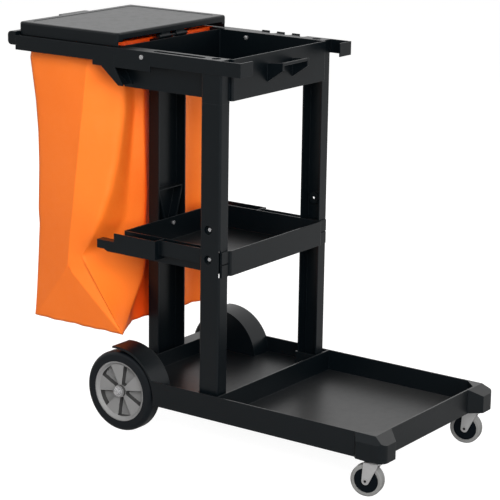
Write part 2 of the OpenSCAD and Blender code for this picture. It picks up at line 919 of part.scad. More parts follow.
// The diagonal brace under one arm: two plates with a wall behind them, open towards the tray
module frame_gusset() {
    arm_low = tray_top - arm_h;
    arm_front = -deck_back - fit;
    step_z = tray_top - rail_deep_h;
    gusset_low = arm_low - gusset_drop;
    plate_back = arm_front - gusset_plate_back;
    top_x = [arm_front - gusset_top_back, arm_front + gusset_top_lead];
    low_x = [arm_front + gusset_low_lead, arm_front + gusset_low_lead + gusset_low_l];
    for (y = [post_in, strip_in])
        side_view([y, y + rail_t])
            polygon([[plate_back, arm_low + eps], [plate_back, step_z], [top_x[0], step_z],
                     [low_x[0], gusset_low], [low_x[1], gusset_low], [top_x[1], step_z - fit],
                     [arm_front, step_z - fit], [arm_front, arm_low + eps]]);
    side_view([post_in, rail_y])
        polygon([[top_x[0], step_z], [low_x[0], gusset_low], [low_x[0] + gusset_edge, gusset_low],
                 [top_x[0] + gusset_edge, step_z]]);
}

// A cross member of the frame, an angle with a turned-down inner lip
module frame_cross(x) {
    arm_low = tray_top - arm_h;
    block([x, x + rail_t], [-deck_y - eps, deck_y + eps], [arm_low, tray_top]);
    block([x, x + cross_t], [-deck_y - eps, deck_y + eps], [top_plate_under, tray_top]);
    block([x + cross_t - rail_t, x + cross_t], [-deck_y - eps, deck_y + eps],
          [tray_top - arm_h / 2, tray_top]);
}

handle_screw_y = [-deck_y * 0.9, -deck_y / 3, deck_y / 3, deck_y * 0.9];
handle_screw_z = tray_top - arm_h / 2;
bracket_screw_y = [-ear_in / 2, ear_in / 2];
bracket_screw_x = column_front - column_d / 2;

module bag_frame()
    color(black_plastic)
        difference() {
            union() {
                on_both() {
                    frame_arm();
                    frame_gusset();
                }
                frame_cross(frame_back);
                frame_cross(cross_x);
            }
            on_both()
                rod_y(frame_bolt_x, frame_bolt_z, screw_r + snug, [deck_y, rail_y]);
            for (y = handle_screw_y)
                rod_x(y, handle_screw_z, screw_r + snug, [frame_back - eps, frame_back + rail_t + eps]);
        }

// Bolts through the rails and the frame's tongues, with a nut inside the tray
module frame_bolts()
    color(steel)
        on_both() {
            rod_y(frame_bolt_x, frame_bolt_z, screw_r, [deck_y - deck_wall - nut_h - 1, rail_y + eps]);
            rod_y(frame_bolt_x, frame_bolt_z, bolt_head_r, [rail_y, rail_y + screw_head_h]);
            rod_y(frame_bolt_x, frame_bolt_z, bolt_head_r,
                  [deck_y - deck_wall - nut_h, deck_y - deck_wall]);
        }

// The push handle, a rounded channel open below
module handle_bar() {
    handle_top = tray_top + handle_rise;
    handle_low = handle_top - handle_h;
    round_r = 10;
    color(black_plastic)
        difference() {
            side_view([-rail_y, rail_y])
                union() {
                    round_rect([handle_back, frame_back], [handle_low, handle_top], round_r);
                    translate([frame_back - round_r, handle_low])
                        square([round_r, handle_h]);
                }
            side_view([-rail_y + handle_wall, rail_y - handle_wall])
                union() {
                    round_rect([handle_back + handle_wall, frame_back - handle_wall],
                               [handle_low + handle_wall, handle_top - handle_wall], round_r - handle_wall);
                    translate([handle_back + handle_wall, handle_low - eps])
                        square([handle_d - 2 * handle_wall, handle_h / 2]);
                }
            for (y = handle_screw_y)
                rod_x(y, handle_screw_z, screw_r + snug, [frame_back - handle_wall - eps, frame_back + eps]);
        }
}

module handle_screws()
    color(steel)
        for (y = handle_screw_y) {
            rod_x(y, handle_screw_z, screw_r, [frame_back - handle_wall - eps, frame_back + rail_t + 2]);
            rod_x(y, handle_screw_z, screw_head_r,
                  [frame_back - handle_wall - screw_head_h, frame_back - handle_wall]);
        }

// Bag

// Depths of the rings down the bag, as shares of its length
bag_levels = [0, 0.05, 0.08, 0.14, 0.23, 0.30, 0.36, 0.43, 0.50, 0.57, 0.65, 0.70, 0.75, 0.79, 0.84,
              0.90, 0.965, 1];

// The lines that the bag's folds follow down from the rim, in order round it. Each point is a share
// of the bag's length, then of half its room along the cart and half its room across.
rear_right_corner = [[0, -1, -1], [0.07, -1, -0.97], [0.27, -0.91, -0.955], [0.46, -0.88, -0.955],
                     [0.8, -0.93, -0.955], [1, -1, -0.955]];
right_crease_rear = [[0, 0.48, -1], [0.05, 0.46, -1], [0.08, 0.45, -1.03], [0.3, 0.32, -1.05],
                     [0.5, 0.18, -1.06], [0.7, 0.04, -1.065], [0.79, -0.01, -1.065], [1, -0.9, -0.965]];
right_crease_front = [[0, 0.51, -1], [0.05, 0.49, -1], [0.08, 0.48, -1.03], [0.3, 0.35, -1.05],
                      [0.5, 0.21, -1.06], [0.7, 0.07, -1.065], [0.79, 0.02, -1.065], [1, 1.175, -0.97]];
front_right_corner = [[0, 1, -1], [0.05, 0.98, -0.99], [0.14, 0.93, -0.985], [0.28, 1.07, -0.985],
                      [0.43, 0.91, -0.985], [0.57, 0.66, -0.985], [0.69, 0.45, -0.99], [0.75, 0.29, -0.995],
                      [1, 1.24, -0.96]];
front_hollow = [[0, 1, -0.8], [0.23, 0.96, -0.775], [0.36, 0.88, -0.6], [0.45, 0.83, -0.52],
                [0.57, 0.66, -0.66], [0.66, 0.5, -0.875], [0.75, 0.32, -0.955], [0.79, 0.61, -0.74],
                [0.84, 0.785, -0.715], [0.965, 1.08, -0.8], [1, 1.24, -0.92]];
front_ridge = [[0, 1, -0.5], [0.05, 1, -0.5], [0.3, 1.005, -0.455], [0.45, 1.005, -0.425],
               [0.64, 0.975, -0.425], [0.71, 1.005, -0.33], [0.79, 1.02, -0.285],
               [0.84, 1.02, -0.31], [0.9, 1.015, -0.455], [0.965, 1.01, -0.625], [1, 1.15, -0.83]];
front_fall = [[0, 1, -0.275], [0.3, 0.93, -0.21], [0.55, 0.865, -0.21], [0.71, 0.77, -0.185],
              [0.84, 0.705, -0.21], [0.965, 0.72, -0.32], [1, 0.785, -0.37]];
front_middle = [[0, 1, 0], [0.3, 0.91, 0.05], [0.71, 0.83, 0.1], [1, 0.83, 0.1]];
left_ridge = [[0, 1, 0.48], [0.3, 0.99, 0.53], [0.55, 0.975, 0.56], [0.84, 0.945, 0.585], [1, 0.93, 0.585]];
left_hollow = [[0, 1, 0.745], [0.3, 0.88, 0.745], [0.55, 0.835, 0.745], [0.84, 0.835, 0.795],
               [1, 0.91, 0.795]];
front_left_corner = [[0, 1, 1], [0.05, 1, 1], [0.3, 1.005, 1.02], [0.55, 0.975, 1.03], [0.84, 0.99, 1.03],
                     [1, 1.02, 0.995]];
left_crease_front = [[0, 0.31, 1], [0.05, 0.29, 1], [0.3, 0.19, 1.05], [0.79, 0.03, 1.06], [1, 0.9, 0.985]];
left_crease_rear = [[0, 0.28, 1], [0.05, 0.26, 1], [0.3, 0.16, 1.05], [0.79, 0, 1.06], [1, -0.88, 0.965]];
rear_left_corner = [[0, -1, 1], [0.3, -0.905, 0.96], [0.61, -0.89, 0.955], [1, -0.985, 0.955]];
rear_middle = [[0, -1, 0], [0.3, -0.92, 0], [0.61, -0.86, 0], [0.84, -0.89, 0], [1, -0.95, 0]];
bag_folds = [rear_right_corner, right_crease_rear, right_crease_front, front_right_corner, front_hollow,
             front_ridge, front_fall, front_middle, left_ridge, left_hollow, front_left_corner,
             left_crease_front, left_crease_rear, rear_left_corner, rear_middle];

function on_fold(fold, depth, axis) = lookup(depth, [for (p = fold) [p[0], p[axis]]]);

function bag_ring(depth) =
    [for (fold = bag_folds) [bag_mid + bag_a * on_fold(fold, depth, 1), bag_b * on_fold(fold, depth, 2)]];

function unit(v) = v / norm(v);

function turned_left(v) = [-v[1], v[0]];

// A point of a ring, moved in by a share of the sheet's thickness
function drawn_in(ring, k, share) =
    let (n = len(ring),
         before = turned_left(unit(ring[k] - ring[(k + n - 1) % n])),
         after = turned_left(unit(ring[(k + 1) % n] - ring[k])),
         inward = unit(before + after))
    ring[k] + inward * share * bag_t / max(0.5, inward * before);

function bag_skin_points(share) =
    [for (depth = bag_levels)
     let (ring = bag_ring(depth))
     for (k = [0 : len(ring) - 1])
     let (p = drawn_in(ring, k, share))
     [p[0], p[1], max(tray_top - bag_drop * depth, bag_bottom + share * bag_t)]];

// One closed shell: the outside down to the bottom, and the inside back up to the rim
module bag_shell() {
    rings = len(bag_levels);
    steps = len(bag_folds);
    outside = bag_skin_points(0);
    inside = bag_skin_points(1);
    poles = [[bag_mid, 0, bag_bottom], [bag_mid, 0, bag_bottom + bag_t]];
    inner = rings * steps;
    pole = 2 * inner;
    last = (rings - 1) * steps;
    skin = [for (r = [0 : rings - 2], k = [0 : steps - 1])
            let (n = (k + 1) % steps, a = r * steps)
            each [[a + k, a + n, a + steps + n], [a + k, a + steps + n, a + steps + k],
                  [inner + a + k, inner + a + steps + n, inner + a + n],
                  [inner + a + k, inner + a + steps + k, inner + a + steps + n]]];
    ends = [for (k = [0 : steps - 1])
            let (n = (k + 1) % steps)
            each [[last + k, last + n, pole], [inner + last + n, inner + last + k, pole + 1],
                  [n, k, inner + k], [n, inner + k, inner + n]]];
    polyhedron(concat(outside, inside, poles), concat(skin, ends));
}

// The hem that lies on the frame, with a flap over the front cross member
module bag_hem() {
    x = [bag_mid - bag_a, bag_mid + bag_a];
    difference() {
        block([x[0] - bag_lip, cross_x + cross_t + fit + flap_t],
              [-bag_b - bag_side_lip, bag_b + bag_side_lip], [tray_top, tray_top + bag_lip_t]);
        block([x[0] + bag_t, x[1] - bag_t], [-bag_b + bag_t, bag_b - bag_t],
              [tray_top - eps, tray_top + bag_lip_t + eps]);
    }
    block([cross_x + cross_t + fit, cross_x + cross_t + fit + flap_t], [-bag_b + 2, bag_b - 2],
          [tray_top - flap_h, tray_top + bag_lip_t]);
}

module bag()
    color(bag_orange) {
        bag_shell();
        bag_hem();
    }

// Lid and its hinge

// The lid's outer or inner form: round corners and a rounded top edge
module lid_form(inset, low) {
    top = lid_top - inset;
    r = lid_round - inset;
    hull()
        for (x = [frame_back + lid_round, lid_front - lid_round], y = [-lid_y + lid_round, lid_y - lid_round])
            translate([x, y, 0]) {
                translate([0, 0, low])
                    cylinder(r = r, h = top - lid_edge - low, $fn = 32);
                translate([0, 0, low])
                    cylinder(r = r - lid_edge * 0.29, h = top - lid_edge * 0.29 - low, $fn = 32);
                translate([0, 0, low])
                    cylinder(r = r - lid_edge, h = top - low, $fn = 32);
            }
}

module lid_ribs() {
    rib_t = 2.5;
    rib_h = 8;
    rib_low = lid_top - lid_t - rib_h;
    for (y = [-lid_y / 2, 0, lid_y / 2])
        block([frame_back + lid_t, lid_front - lid_t], [y - rib_t / 2, y + rib_t / 2],
              [rib_low, lid_top - lid_t + eps]);
    for (k = [1 : 2])
        block([frame_back + k * frame_l / 3, frame_back + k * frame_l / 3 + rib_t],
              [-lid_y + lid_t, lid_y - lid_t], [rib_low, lid_top - lid_t + eps]);
}

module lid_lug()
    difference() {
        side_view([lug_out - lug_w, lug_out])
            union() {
                translate([hinge_x, hinge_z])
                    circle(hinge_r);
                translate([hinge_x - hinge_r / 2, hinge_z])
                    square([hinge_r, lid_bottom + lid_front_gap - hinge_z + 4]);
            }
        rod_y(hinge_x, hinge_z, pin_d / 2 + run, [lug_out - lug_w - eps, lug_out + eps]);
    }

module lid()
    color(black_plastic) {
        difference() {
            lid_form(0, lid_bottom);
            lid_form(lid_t, lid_bottom - eps);
            block([hinge_x - 3 * lid_t, 0], [-lid_y + lid_leg, lid_y - lid_leg],
                  [lid_bottom - eps, lid_bottom + lid_front_gap]);
            block([hinge_x + lid_corner_lead, 0], [-lid_y - eps, lid_y + eps],
                  [lid_bottom - eps, lid_bottom + lid_corner_gap]);
            round_block([frame_back + panel_edge, lid_front - panel_edge],
                        [-lid_y + panel_edge, lid_y - panel_edge],
                        [lid_top - panel_depth, lid_top + eps], lid_round);
        }
        lid_ribs();
        on_both()
            lid_lug();
        difference() {
            round_block([frame_back - grip_out, frame_back + lid_t], [-grip_w / 2, grip_w / 2],
                        [lid_top - 15, lid_top - 1], 6);
            block([frame_back - grip_out + lid_t, frame_back - eps],
                  [-grip_w / 2 + lid_t, grip_w / 2 - lid_t], [lid_top - 15 - eps, lid_top - 1 - lid_t]);
        }
    }

module hinge_bracket()
    color(black_plastic)
        difference() {
            union() {
                block([column_back + 2, column_front], [-ear_out, ear_out],
                      [column_top, column_top + bracket_t]);
                on_both()
                    side_view([ear_in, ear_out])
                        union() {
                            translate([hinge_x, hinge_z])
                                circle(hinge_r);
                            polygon([[column_front, column_top + bracket_t - eps],
                                     [column_front, hinge_z - hinge_r + fit],
                                     [hinge_x, hinge_z], [hinge_x - hinge_r, hinge_z],
                                     [column_back + 4, column_top + bracket_t - eps]]);
                        }
            }
            rod_y(hinge_x, hinge_z, pin_d / 2 + snug, [-ear_out - eps, ear_out + eps]);
            for (y = bracket_screw_y)
                translate([bracket_screw_x, y, column_top - eps])
                    cylinder(r = screw_r + snug, h = bracket_t + 2 * eps);
        }

module bracket_screws()
    color(steel)
        for (y = bracket_screw_y)
            translate([bracket_screw_x, y, 0]) {
                translate([0, 0, column_top - 10])
                    cylinder(r = screw_r, h = 10 + bracket_t + eps);
                translate([0, 0, column_top + bracket_t])
                    cylinder(r = screw_head_r, h = screw_head_h - 1);
            }

module hinge_pin()
    color(steel) {
        rod_y(hinge_x, hinge_z, pin_d / 2, [-ear_out - 2, ear_out + eps]);
        rod_y(hinge_x, hinge_z, pin_d / 2 + 1.5, [ear_out, ear_out + 2]);
    }

// Rear wheels

module rear_axle()
    color(steel)
        rod_y(0, axle_z, axle_r, [-hub_face - washer_t - 6, hub_face + washer_t + 6]);

module axle_washers()
    color(steel)
        on_both()
            difference() {
                rod_y(0, axle_z, washer_d / 2, [hub_face, hub_face + washer_t]);
                rod_y(0, axle_z, axle_r + snug, [hub_face - eps, hub_face + washer_t + eps]);
            }

// Round caps that hold the wheels on the axle
module axle_caps()
    color(steel)
        on_both()
            difference() {
                union() {
                    rod_y(0, axle_z, axle_r + 3, [hub_face + washer_t, hub_face + washer_t + 5]);
                    rod_y(0, axle_z, axle_r + 1.5, [hub_face + washer_t, hub_face + washer_t + 8]);
                }
                rod_y(0, axle_z, axle_r + snug, [hub_face, hub_face + washer_t + 6 + snug]);
            }

// Turns a wheel drawn round Z so that its outer face looks out of the cart's left side
module wheel_pose(x, y, z)
    translate([x, y, z])
        rotate([-90, 0, 0])
            children();

module rear_tyre()
    color(dark_rubber)
        wheel_pose(0, wheel_y, axle_z)
            rotate_extrude() {
                half = wheel_w / 2;
                crown = wheel_d / 2;
                bead = rim_d / 2 + snug;
                translate([bead, -half])
                    square([crown - tyre_round - bead, wheel_w]);
                translate([bead, -half + tyre_round])
                    square([crown - bead, wheel_w - 2 * tyre_round]);
                for (s = [-1, 1])
                    translate([crown - tyre_round, s * (half - tyre_round)])
                        circle(tyre_round);
            }

// The outline of one recess between two spokes
module spoke_window(inner_r, outer_r) {
    spread = 360 / spoke_count;
    half = spread * 0.25;
    intersection() {
        difference() {
            circle(outer_r);
            circle(inner_r);
        }
        polygon([[0, 0], [2 * outer_r * cos(half), 2 * outer_r * sin(half)],
                 [2 * outer_r * cos(half), -2 * outer_r * sin(half)]]);
    }
}

module rear_hub()
    color(hub_grey)
        wheel_pose(0, wheel_y, axle_z) {
            half = wheel_w / 2;
            rim_r = rim_d / 2;
            rim_t = 9;
            rim_lip = 3;
            rim_z = [-half + 3, half - 1];
            boss_r = bush_r + 6;
            web = [half - 24, half - 8];
            web_floor = 2;
            first_window = 64;
            difference() {
                rotate_extrude() {
                    polygon([[rim_r - rim_t, rim_z[0]], [rim_r, rim_z[0]], [rim_r, rim_z[1]],
                             [rim_r - rim_lip, rim_z[1]], [rim_r - rim_t, web[1]]]);
                    translate([bush_r + snug, web[0]])
                        square([rim_r - rim_t + eps - bush_r - snug, web[1] - web[0]]);
                    translate([bush_r + snug, -hub_inner])
                        square([boss_r - bush_r, half + hub_inner]);
                }
                for (k = [0 : spoke_count - 1])
                    rotate([0, 0, -first_window - k * 360 / spoke_count])
                        translate([0, 0, web[0] + web_floor])
                            linear_extrude(web[1] - web[0])
                                spoke_window(boss_r + 1, rim_r - rim_t - 1);
            }
        }

// The bearing sleeve between the hub and the axle
module rear_bush()
    color(black_plastic)
        wheel_pose(0, wheel_y, axle_z)
            difference() {
                translate([0, 0, -hub_inner])
                    cylinder(r = bush_r, h = hub_face - wheel_y + hub_inner - side_gap);
                translate([0, 0, -hub_inner - eps])
                    cylinder(r = axle_r + run, h = hub_face - wheel_y + hub_inner + eps);
            }

// Casters

// Turns a caster about its swivel axis
module caster_pose(turn)
    translate([swivel_x, swivel_y, 0])
        rotate([0, 0, turn])
            translate([-swivel_x, -swivel_y, 0])
                children();

// The stem in the base, with its bearing race and the rivet that carries the fork
module caster_stem()
    color(zinc)
        translate([swivel_x, swivel_y, 0]) {
            translate([0, 0, stem_seat - eps])
                cylinder(r = stem_d / 2, h = stem_l);
            translate([0, 0, stem_seat - race_h])
                cylinder(r = race_r, h = race_h);
            translate([0, 0, fork_under - side_gap / 2 - eps])
                cylinder(r = neck_r, h = stem_seat - fork_under);
            translate([0, 0, fork_under - side_gap / 2 - rivet_h])
                cylinder(r = rivet_r, h = rivet_h);
        }

// The fork: a round crown with two tapering legs
module caster_fork() {
    eye_r = 9;
    crown_r = fork_out + 2;
    color(zinc)
        difference() {
            union() {
                translate([swivel_x, swivel_y, fork_under])
                    cylinder(r = crown_r, h = fork_t);
                block([caster_wheel_x - eye_r + 3, swivel_x], [swivel_y - fork_out, swivel_y + fork_out],
                      [fork_under, fork_top]);
                for (y = [swivel_y - fork_out, swivel_y + fork_in])
                    side_view([y, y + fork_t])
                        union() {
                            translate([caster_wheel_x, caster_d / 2])
                                circle(eye_r);
                            polygon([[caster_wheel_x - eye_r, caster_d / 2],
                                     [caster_wheel_x - eye_r + 3, fork_top],
                                     [swivel_x + crown_r * 0.6, fork_top],
                                     [swivel_x + crown_r * 0.5, fork_under - 5],
                                     [caster_wheel_x + eye_r * 0.8, caster_d / 2 - eye_r * 0.6]]);
                        }
            }
            translate([swivel_x, swivel_y, fork_under - eps])
                cylinder(r = neck_r + run, h = fork_t + 2 * eps);
            rod_y(caster_wheel_x, caster_d / 2, caster_axle_r + snug,
                  [swivel_y - fork_out - eps, swivel_y + fork_out + eps]);
        }
}

// The tubular rivet that carries a caster wheel
module caster_axle() {
    head_h = 1.5;
    color(steel)
        difference() {
            union() {
                rod_y(caster_wheel_x, caster_d / 2, caster_axle_r,
                      [swivel_y - fork_out - eps, swivel_y + fork_out + eps]);
                rod_y(caster_wheel_x, caster_d / 2, caster_axle_r + 2,
                      [swivel_y + fork_out, swivel_y + fork_out + head_h]);
                rod_y(caster_wheel_x, caster_d / 2, caster_axle_r + 2,
                      [swivel_y - fork_out - head_h, swivel_y - fork_out]);
            }
            rod_y(caster_wheel_x, caster_d / 2, caster_axle_r * 0.6,
                  [swivel_y - fork_out - 2 * head_h, swivel_y + fork_out + 2 * head_h]);
        }
}

module caster_hub()
    color(dark_rubber)
        wheel_pose(caster_wheel_x, swivel_y, caster_d / 2)
            rotate_extrude() {
                bore = caster_axle_r + run;
                translate([bore, -fork_in + side_gap])
                    square([5, 2 * fork_in - 2 * side_gap]);
                translate([bore, -tread_w / 2 + 3])
                    square([caster_hub_d / 2 - bore, tread_w - 6]);
            }

module caster_tread()
    color(tread_grey)
        wheel_pose(caster_wheel_x, swivel_y, caster_d / 2)
            rotate_extrude() {
                inner = caster_hub_d / 2 + snug;
                outer = caster_d / 2;
                shoulder = 4;
                translate([inner, -tread_w / 2])
                    square([outer - shoulder - inner, tread_w]);
                translate([inner, -tread_w / 2 + shoulder])
                    square([outer - inner, tread_w - 2 * shoulder]);
                for (s = [-1, 1])
                    translate([outer - shoulder, s * (tread_w / 2 - shoulder)])
                        circle(shoulder);
            }

place() base_tray();
place() corner_bumper();  // corner_bumper_left
place() on_right() corner_bumper();  // corner_bumper_right
place() front_post();  // front_post_left
place() on_right() front_post();  // front_post_right
place() post_screws();
place() rear_column();
place() column_screws();
place() middle_shelf();
place() top_tray();
place() bag_frame();
place() frame_bolts();
place() handle_bar();
place() handle_screws();
place() bag();
place() hinge_bracket();
place() bracket_screws();
place() hinge_pin();
place() lid();
place() rear_axle();
place() axle_washers();
place() axle_caps();
place() rear_tyre();  // rear_tyre_left
place() on_right() rear_tyre();  // rear_tyre_right
place() rear_hub();  // rear_hub_left
place() on_right() rear_hub();  // rear_hub_right
place() rear_bush();  // rear_bush_left
place() on_right() rear_bush();  // rear_bush_right
place() caster_stem();  // caster_stem_left
place() on_right() caster_stem();  // caster_stem_right
place() caster_pose(caster_turn) caster_fork();  // caster_fork_left
place() on_right() caster_pose(-caster_turn) caster_fork();  // caster_fork_right
place() caster_pose(caster_turn) caster_axle();  // caster_axle_left
place() on_right() caster_pose(-caster_turn) caster_axle();  // caster_axle_right
place() caster_pose(caster_turn) caster_hub();  // caster_hub_left
place() on_right() caster_pose(-caster_turn) caster_hub();  // caster_hub_right
place() caster_pose(caster_turn) caster_tread();  // caster_tread_left
place() on_right() caster_pose(-caster_turn) caster_tread();  // caster_tread_right
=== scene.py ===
import json
import math

import bpy
import numpy as np
from mathutils import Matrix, Vector


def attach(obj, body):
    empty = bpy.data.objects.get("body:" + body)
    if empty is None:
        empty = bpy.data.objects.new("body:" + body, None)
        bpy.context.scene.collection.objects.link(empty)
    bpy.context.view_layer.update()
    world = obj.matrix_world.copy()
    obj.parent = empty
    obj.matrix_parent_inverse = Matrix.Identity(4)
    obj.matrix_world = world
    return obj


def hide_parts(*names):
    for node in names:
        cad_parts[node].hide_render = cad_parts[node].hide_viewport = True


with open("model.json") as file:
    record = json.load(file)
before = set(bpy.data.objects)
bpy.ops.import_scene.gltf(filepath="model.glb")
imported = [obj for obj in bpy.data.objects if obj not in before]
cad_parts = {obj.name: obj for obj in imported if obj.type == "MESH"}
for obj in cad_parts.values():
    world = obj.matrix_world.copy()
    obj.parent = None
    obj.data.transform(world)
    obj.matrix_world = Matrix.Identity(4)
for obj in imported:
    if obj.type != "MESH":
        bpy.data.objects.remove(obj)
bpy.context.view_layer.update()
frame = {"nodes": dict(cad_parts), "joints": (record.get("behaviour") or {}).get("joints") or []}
NODES = frame["nodes"]
JOINTS = {joint["name"]: joint for joint in frame["joints"]}

MM = 0.001
# Where the rear axle lies along the cart, from its origin, in metres
AXLE_X = -0.209
WHITE = (1.0, 1.0, 1.0, 1.0)


# Node trees

def put(tree, kind, props=None, **sockets):
    """Adds a node with its properties, and sets or links its inputs by name, or by number as i0 or i1."""
    node = tree.nodes.new(kind)
    for name, value in (props or {}).items():
        setattr(node, name, value)
    for name, value in sockets.items():
        numbered = name[0] == "i" and name[1:].isdigit()
        key = int(name[1:]) if numbered else name.replace("_", " ")
        if isinstance(value, bpy.types.NodeSocket):
            tree.links.new(value, node.inputs[key])
        else:
            node.inputs[key].default_value = value
    return node


def math_node(tree, operation, a, b=0.0, clamp=False):
    node = put(tree, "ShaderNodeMath", {"operation": operation, "use_clamp": clamp}, i0=a, i1=b)
    return node.outputs[0]


def times(tree, a, b):
    return math_node(tree, "MULTIPLY", a, b)


def dot(tree, a, b):
    node = put(tree, "ShaderNodeVectorMath", {"operation": "DOT_PRODUCT"}, i0=a, i1=b)
    return node.outputs["Value"]


def split(tree, vector):
    """The X, Y and Z of a vector."""
    return put(tree, "ShaderNodeSeparateXYZ", Vector=vector).outputs


def ramp(tree, value, span, to=(0.0, 1.0)):
    """Maps a value smoothly from one span to another."""
    node = put(tree, "ShaderNodeMapRange", {"interpolation_type": "SMOOTHSTEP"}, Value=value,
               From_Min=span[0], From_Max=span[1], To_Min=to[0], To_Max=to[1])
    return node.outputs["Result"]


def rgb(colour, gain=1.0):
    return (colour[0] * gain, colour[1] * gain, colour[2] * gain, 1.0)


def blend_colour(tree, share, one, two):
    """Goes from one colour to the other as the share goes from 0 to 1."""
    node = put(tree, "ShaderNodeMix", {"data_type": "RGBA"}, i0=share, i6=one, i7=two)
    return node.outputs[2]


def noise(tree, place, scale, detail, rough):
    node = put(tree, "ShaderNodeTexNoise", Vector=place, Scale=scale, Detail=detail, Roughness=rough)
    return node.outputs["Fac"]


def object_place(tree):
    return put(tree, "ShaderNodeTexCoord").outputs["Object"]


def surface_normal(tree):
    return put(tree, "ShaderNodeNewGeometry").outputs["Normal"]


def empty_tree(owner):
    """The node tree of a material or a world, with nothing in it."""
    owner.use_nodes = True
    owner.node_tree.nodes.clear()
    return owner.node_tree


# Effects that several finishes share

FLOAT = "NodeSocketFloat"
VECTOR = "NodeSocketVector"

# Cosines of the turn from a face to its softened edge, between which the edge's mask grows
EDGE_TURN = (0.995, 0.80)
EDGE_SAMPLES = 6
# The spans of noise that give a broad tone and a patchy gloss, and how much finer the gloss is
TONE_SPAN = (0.3, 0.7)
GLOSS_SPAN = (0.35, 0.75)
GLOSS_FINER = 6.0
# Dust with painted sheen: how level a face is that holds it, where along the cart it thins and to what, and
# its specks
DUST_SHEEN_LEVEL = (0.6, 1.0)
DUST_SHEEN_ALONG = (0.06, 0.24)
DUST_SHEEN_THINNED = (0.12, 1.0)
DUST_SPECK_SCALE = 140.0
DUST_SPECK_SPAN = (0.3, 0.75)
DUST_SPECK_SHARE = (0.8, 1.0)


def new_group(name, inputs, outputs):
    """A shader node group whose inputs are numbers with defaults, and whose outputs have named kinds."""
    tree = bpy.data.node_groups.new(name, "ShaderNodeTree")
    for label, value in inputs.items():
        socket = tree.interface.new_socket(label, in_out="INPUT", socket_type=FLOAT)
        socket.default_value = value
    for label, kind in outputs.items():
        tree.interface.new_socket(label, in_out="OUTPUT", socket_type=kind)
    return tree, tree.nodes.new("NodeGroupInput"), tree.nodes.new("NodeGroupOutput")


def make_edge_group():
    """Softened edges: a mask along the edges of a piece and a normal that rounds them."""
    tree, inside, outside = new_group("softened edges", {"Radius": 1.5 * MM},
                                      {"Edge": FLOAT, "Normal": VECTOR})
    bevel = put(tree, "ShaderNodeBevel", {"samples": EDGE_SAMPLES}, Radius=inside.outputs["Radius"])
    turn = dot(tree, bevel.outputs["Normal"], surface_normal(tree))
    tree.links.new(ramp(tree, turn, EDGE_TURN), outside.inputs["Edge"])
    tree.links.new(bevel.outputs["Normal"], outside.inputs["Normal"])
    return tree


def make_grain_group():
    """Moulded grain: a fine height, a broad tone and a patchy gloss."""
    tree, inside, outside = new_group("moulded grain", {"Scale": 900.0, "Patch": 9.0},
                                      {"Height": FLOAT, "Tone": FLOAT, "Gloss": FLOAT})
    place = object_place(tree)
    fine = noise(tree, place, inside.outputs["Scale"], detail=3.0, rough=0.6)
    broad = noise(tree, place, inside.outputs["Patch"], detail=4.0, rough=0.55)
    rubbed_scale = times(tree, inside.outputs["Patch"], GLOSS_FINER)
    rubbed = noise(tree, place, rubbed_scale, detail=5.0, rough=0.65)
    tree.links.new(fine, outside.inputs["Height"])
    tree.links.new(ramp(tree, broad, TONE_SPAN), outside.inputs["Tone"])
    tree.links.new(ramp(tree, rubbed, GLOSS_SPAN), outside.inputs["Gloss"])
    return tree


def make_dust_and_sheen_group():
    """Settled dust with a painted sheen: a faint lighter mask on what faces up, thinner behind the open
    platform.
    """
    tree, inside, outside = new_group("dust and painted sheen", {"Amount": 0.1}, {"Dust and sheen": FLOAT})
    place = object_place(tree)
    level = ramp(tree, split(tree, surface_normal(tree))["Z"], DUST_SHEEN_LEVEL)
    lying = times(tree, level, ramp(tree, split(tree, place)["X"], DUST_SHEEN_ALONG, DUST_SHEEN_THINNED))
    specks = noise(tree, place, DUST_SPECK_SCALE, detail=6.0, rough=0.7)
    mask = times(tree, lying, ramp(tree, specks, DUST_SPECK_SPAN, DUST_SPECK_SHARE))
    tree.links.new(times(tree, mask, inside.outputs["Amount"]), outside.inputs["Dust and sheen"])
    return tree


EDGES = make_edge_group()
GRAIN = make_grain_group()
DUST_AND_SHEEN = make_dust_and_sheen_group()


def use_group(tree, group, **sockets):
    return put(tree, "ShaderNodeGroup", {"node_tree": group}, **sockets)


def new_material(name):
    material = bpy.data.materials.new(name)
    tree = empty_tree(material)
    shader = put(tree, "ShaderNodeBsdfPrincipled")
    put(tree, "ShaderNodeOutputMaterial", Surface=shader.outputs[0])
    return material, tree, shader


def toned_colour(tree, colour, tones, edge_wear_highlight_gain, edges, grain):
    """A colour that varies broadly between two tones, with its edges lighter at a gain of their own, as
    wear and as painted highlight.
    """
    toned = blend_colour(tree, grain.outputs["Tone"], rgb(colour, tones[0]), rgb(colour, tones[1]))
    # Edges lighter, partly wear and partly painted highlight
    return blend_colour(tree, edges.outputs["Edge"], toned, rgb(colour, edge_wear_highlight_gain))


def patchy_gloss(tree, rough, spread, grain):
    return ramp(tree, grain.outputs["Gloss"], (0.0, 1.0), (rough + spread[0], rough + spread[1]))


def grain_normal(tree, strength, depth, edges, grain):
    """A normal with fine grain over the softened edges."""
    bump = put(tree, "ShaderNodeBump", Strength=strength, Distance=depth, Height=grain.outputs["Height"],
               Normal=edges.outputs["Normal"])
    return bump.outputs["Normal"]


# Moulded plastics and rubbers

MOULDED_TONES = (0.95, 1.05)
MOULDED_GLOSS = (-0.012, 0.018)
MOULDED_PATCH = 9.0
MOULDED_BUMP = 0.2
# Dust with painted sheen: its lighter grey, and how much duller it makes the gloss
DUST_AND_SHEEN_COLOUR = (0.35, 0.34, 0.33, 1.0)
DUST_DULLNESS = 0.3
# Between these turns towards the axle a wall goes from painted shade to its own colour
WALL_SHADE_TURN = (0.2, 0.6)


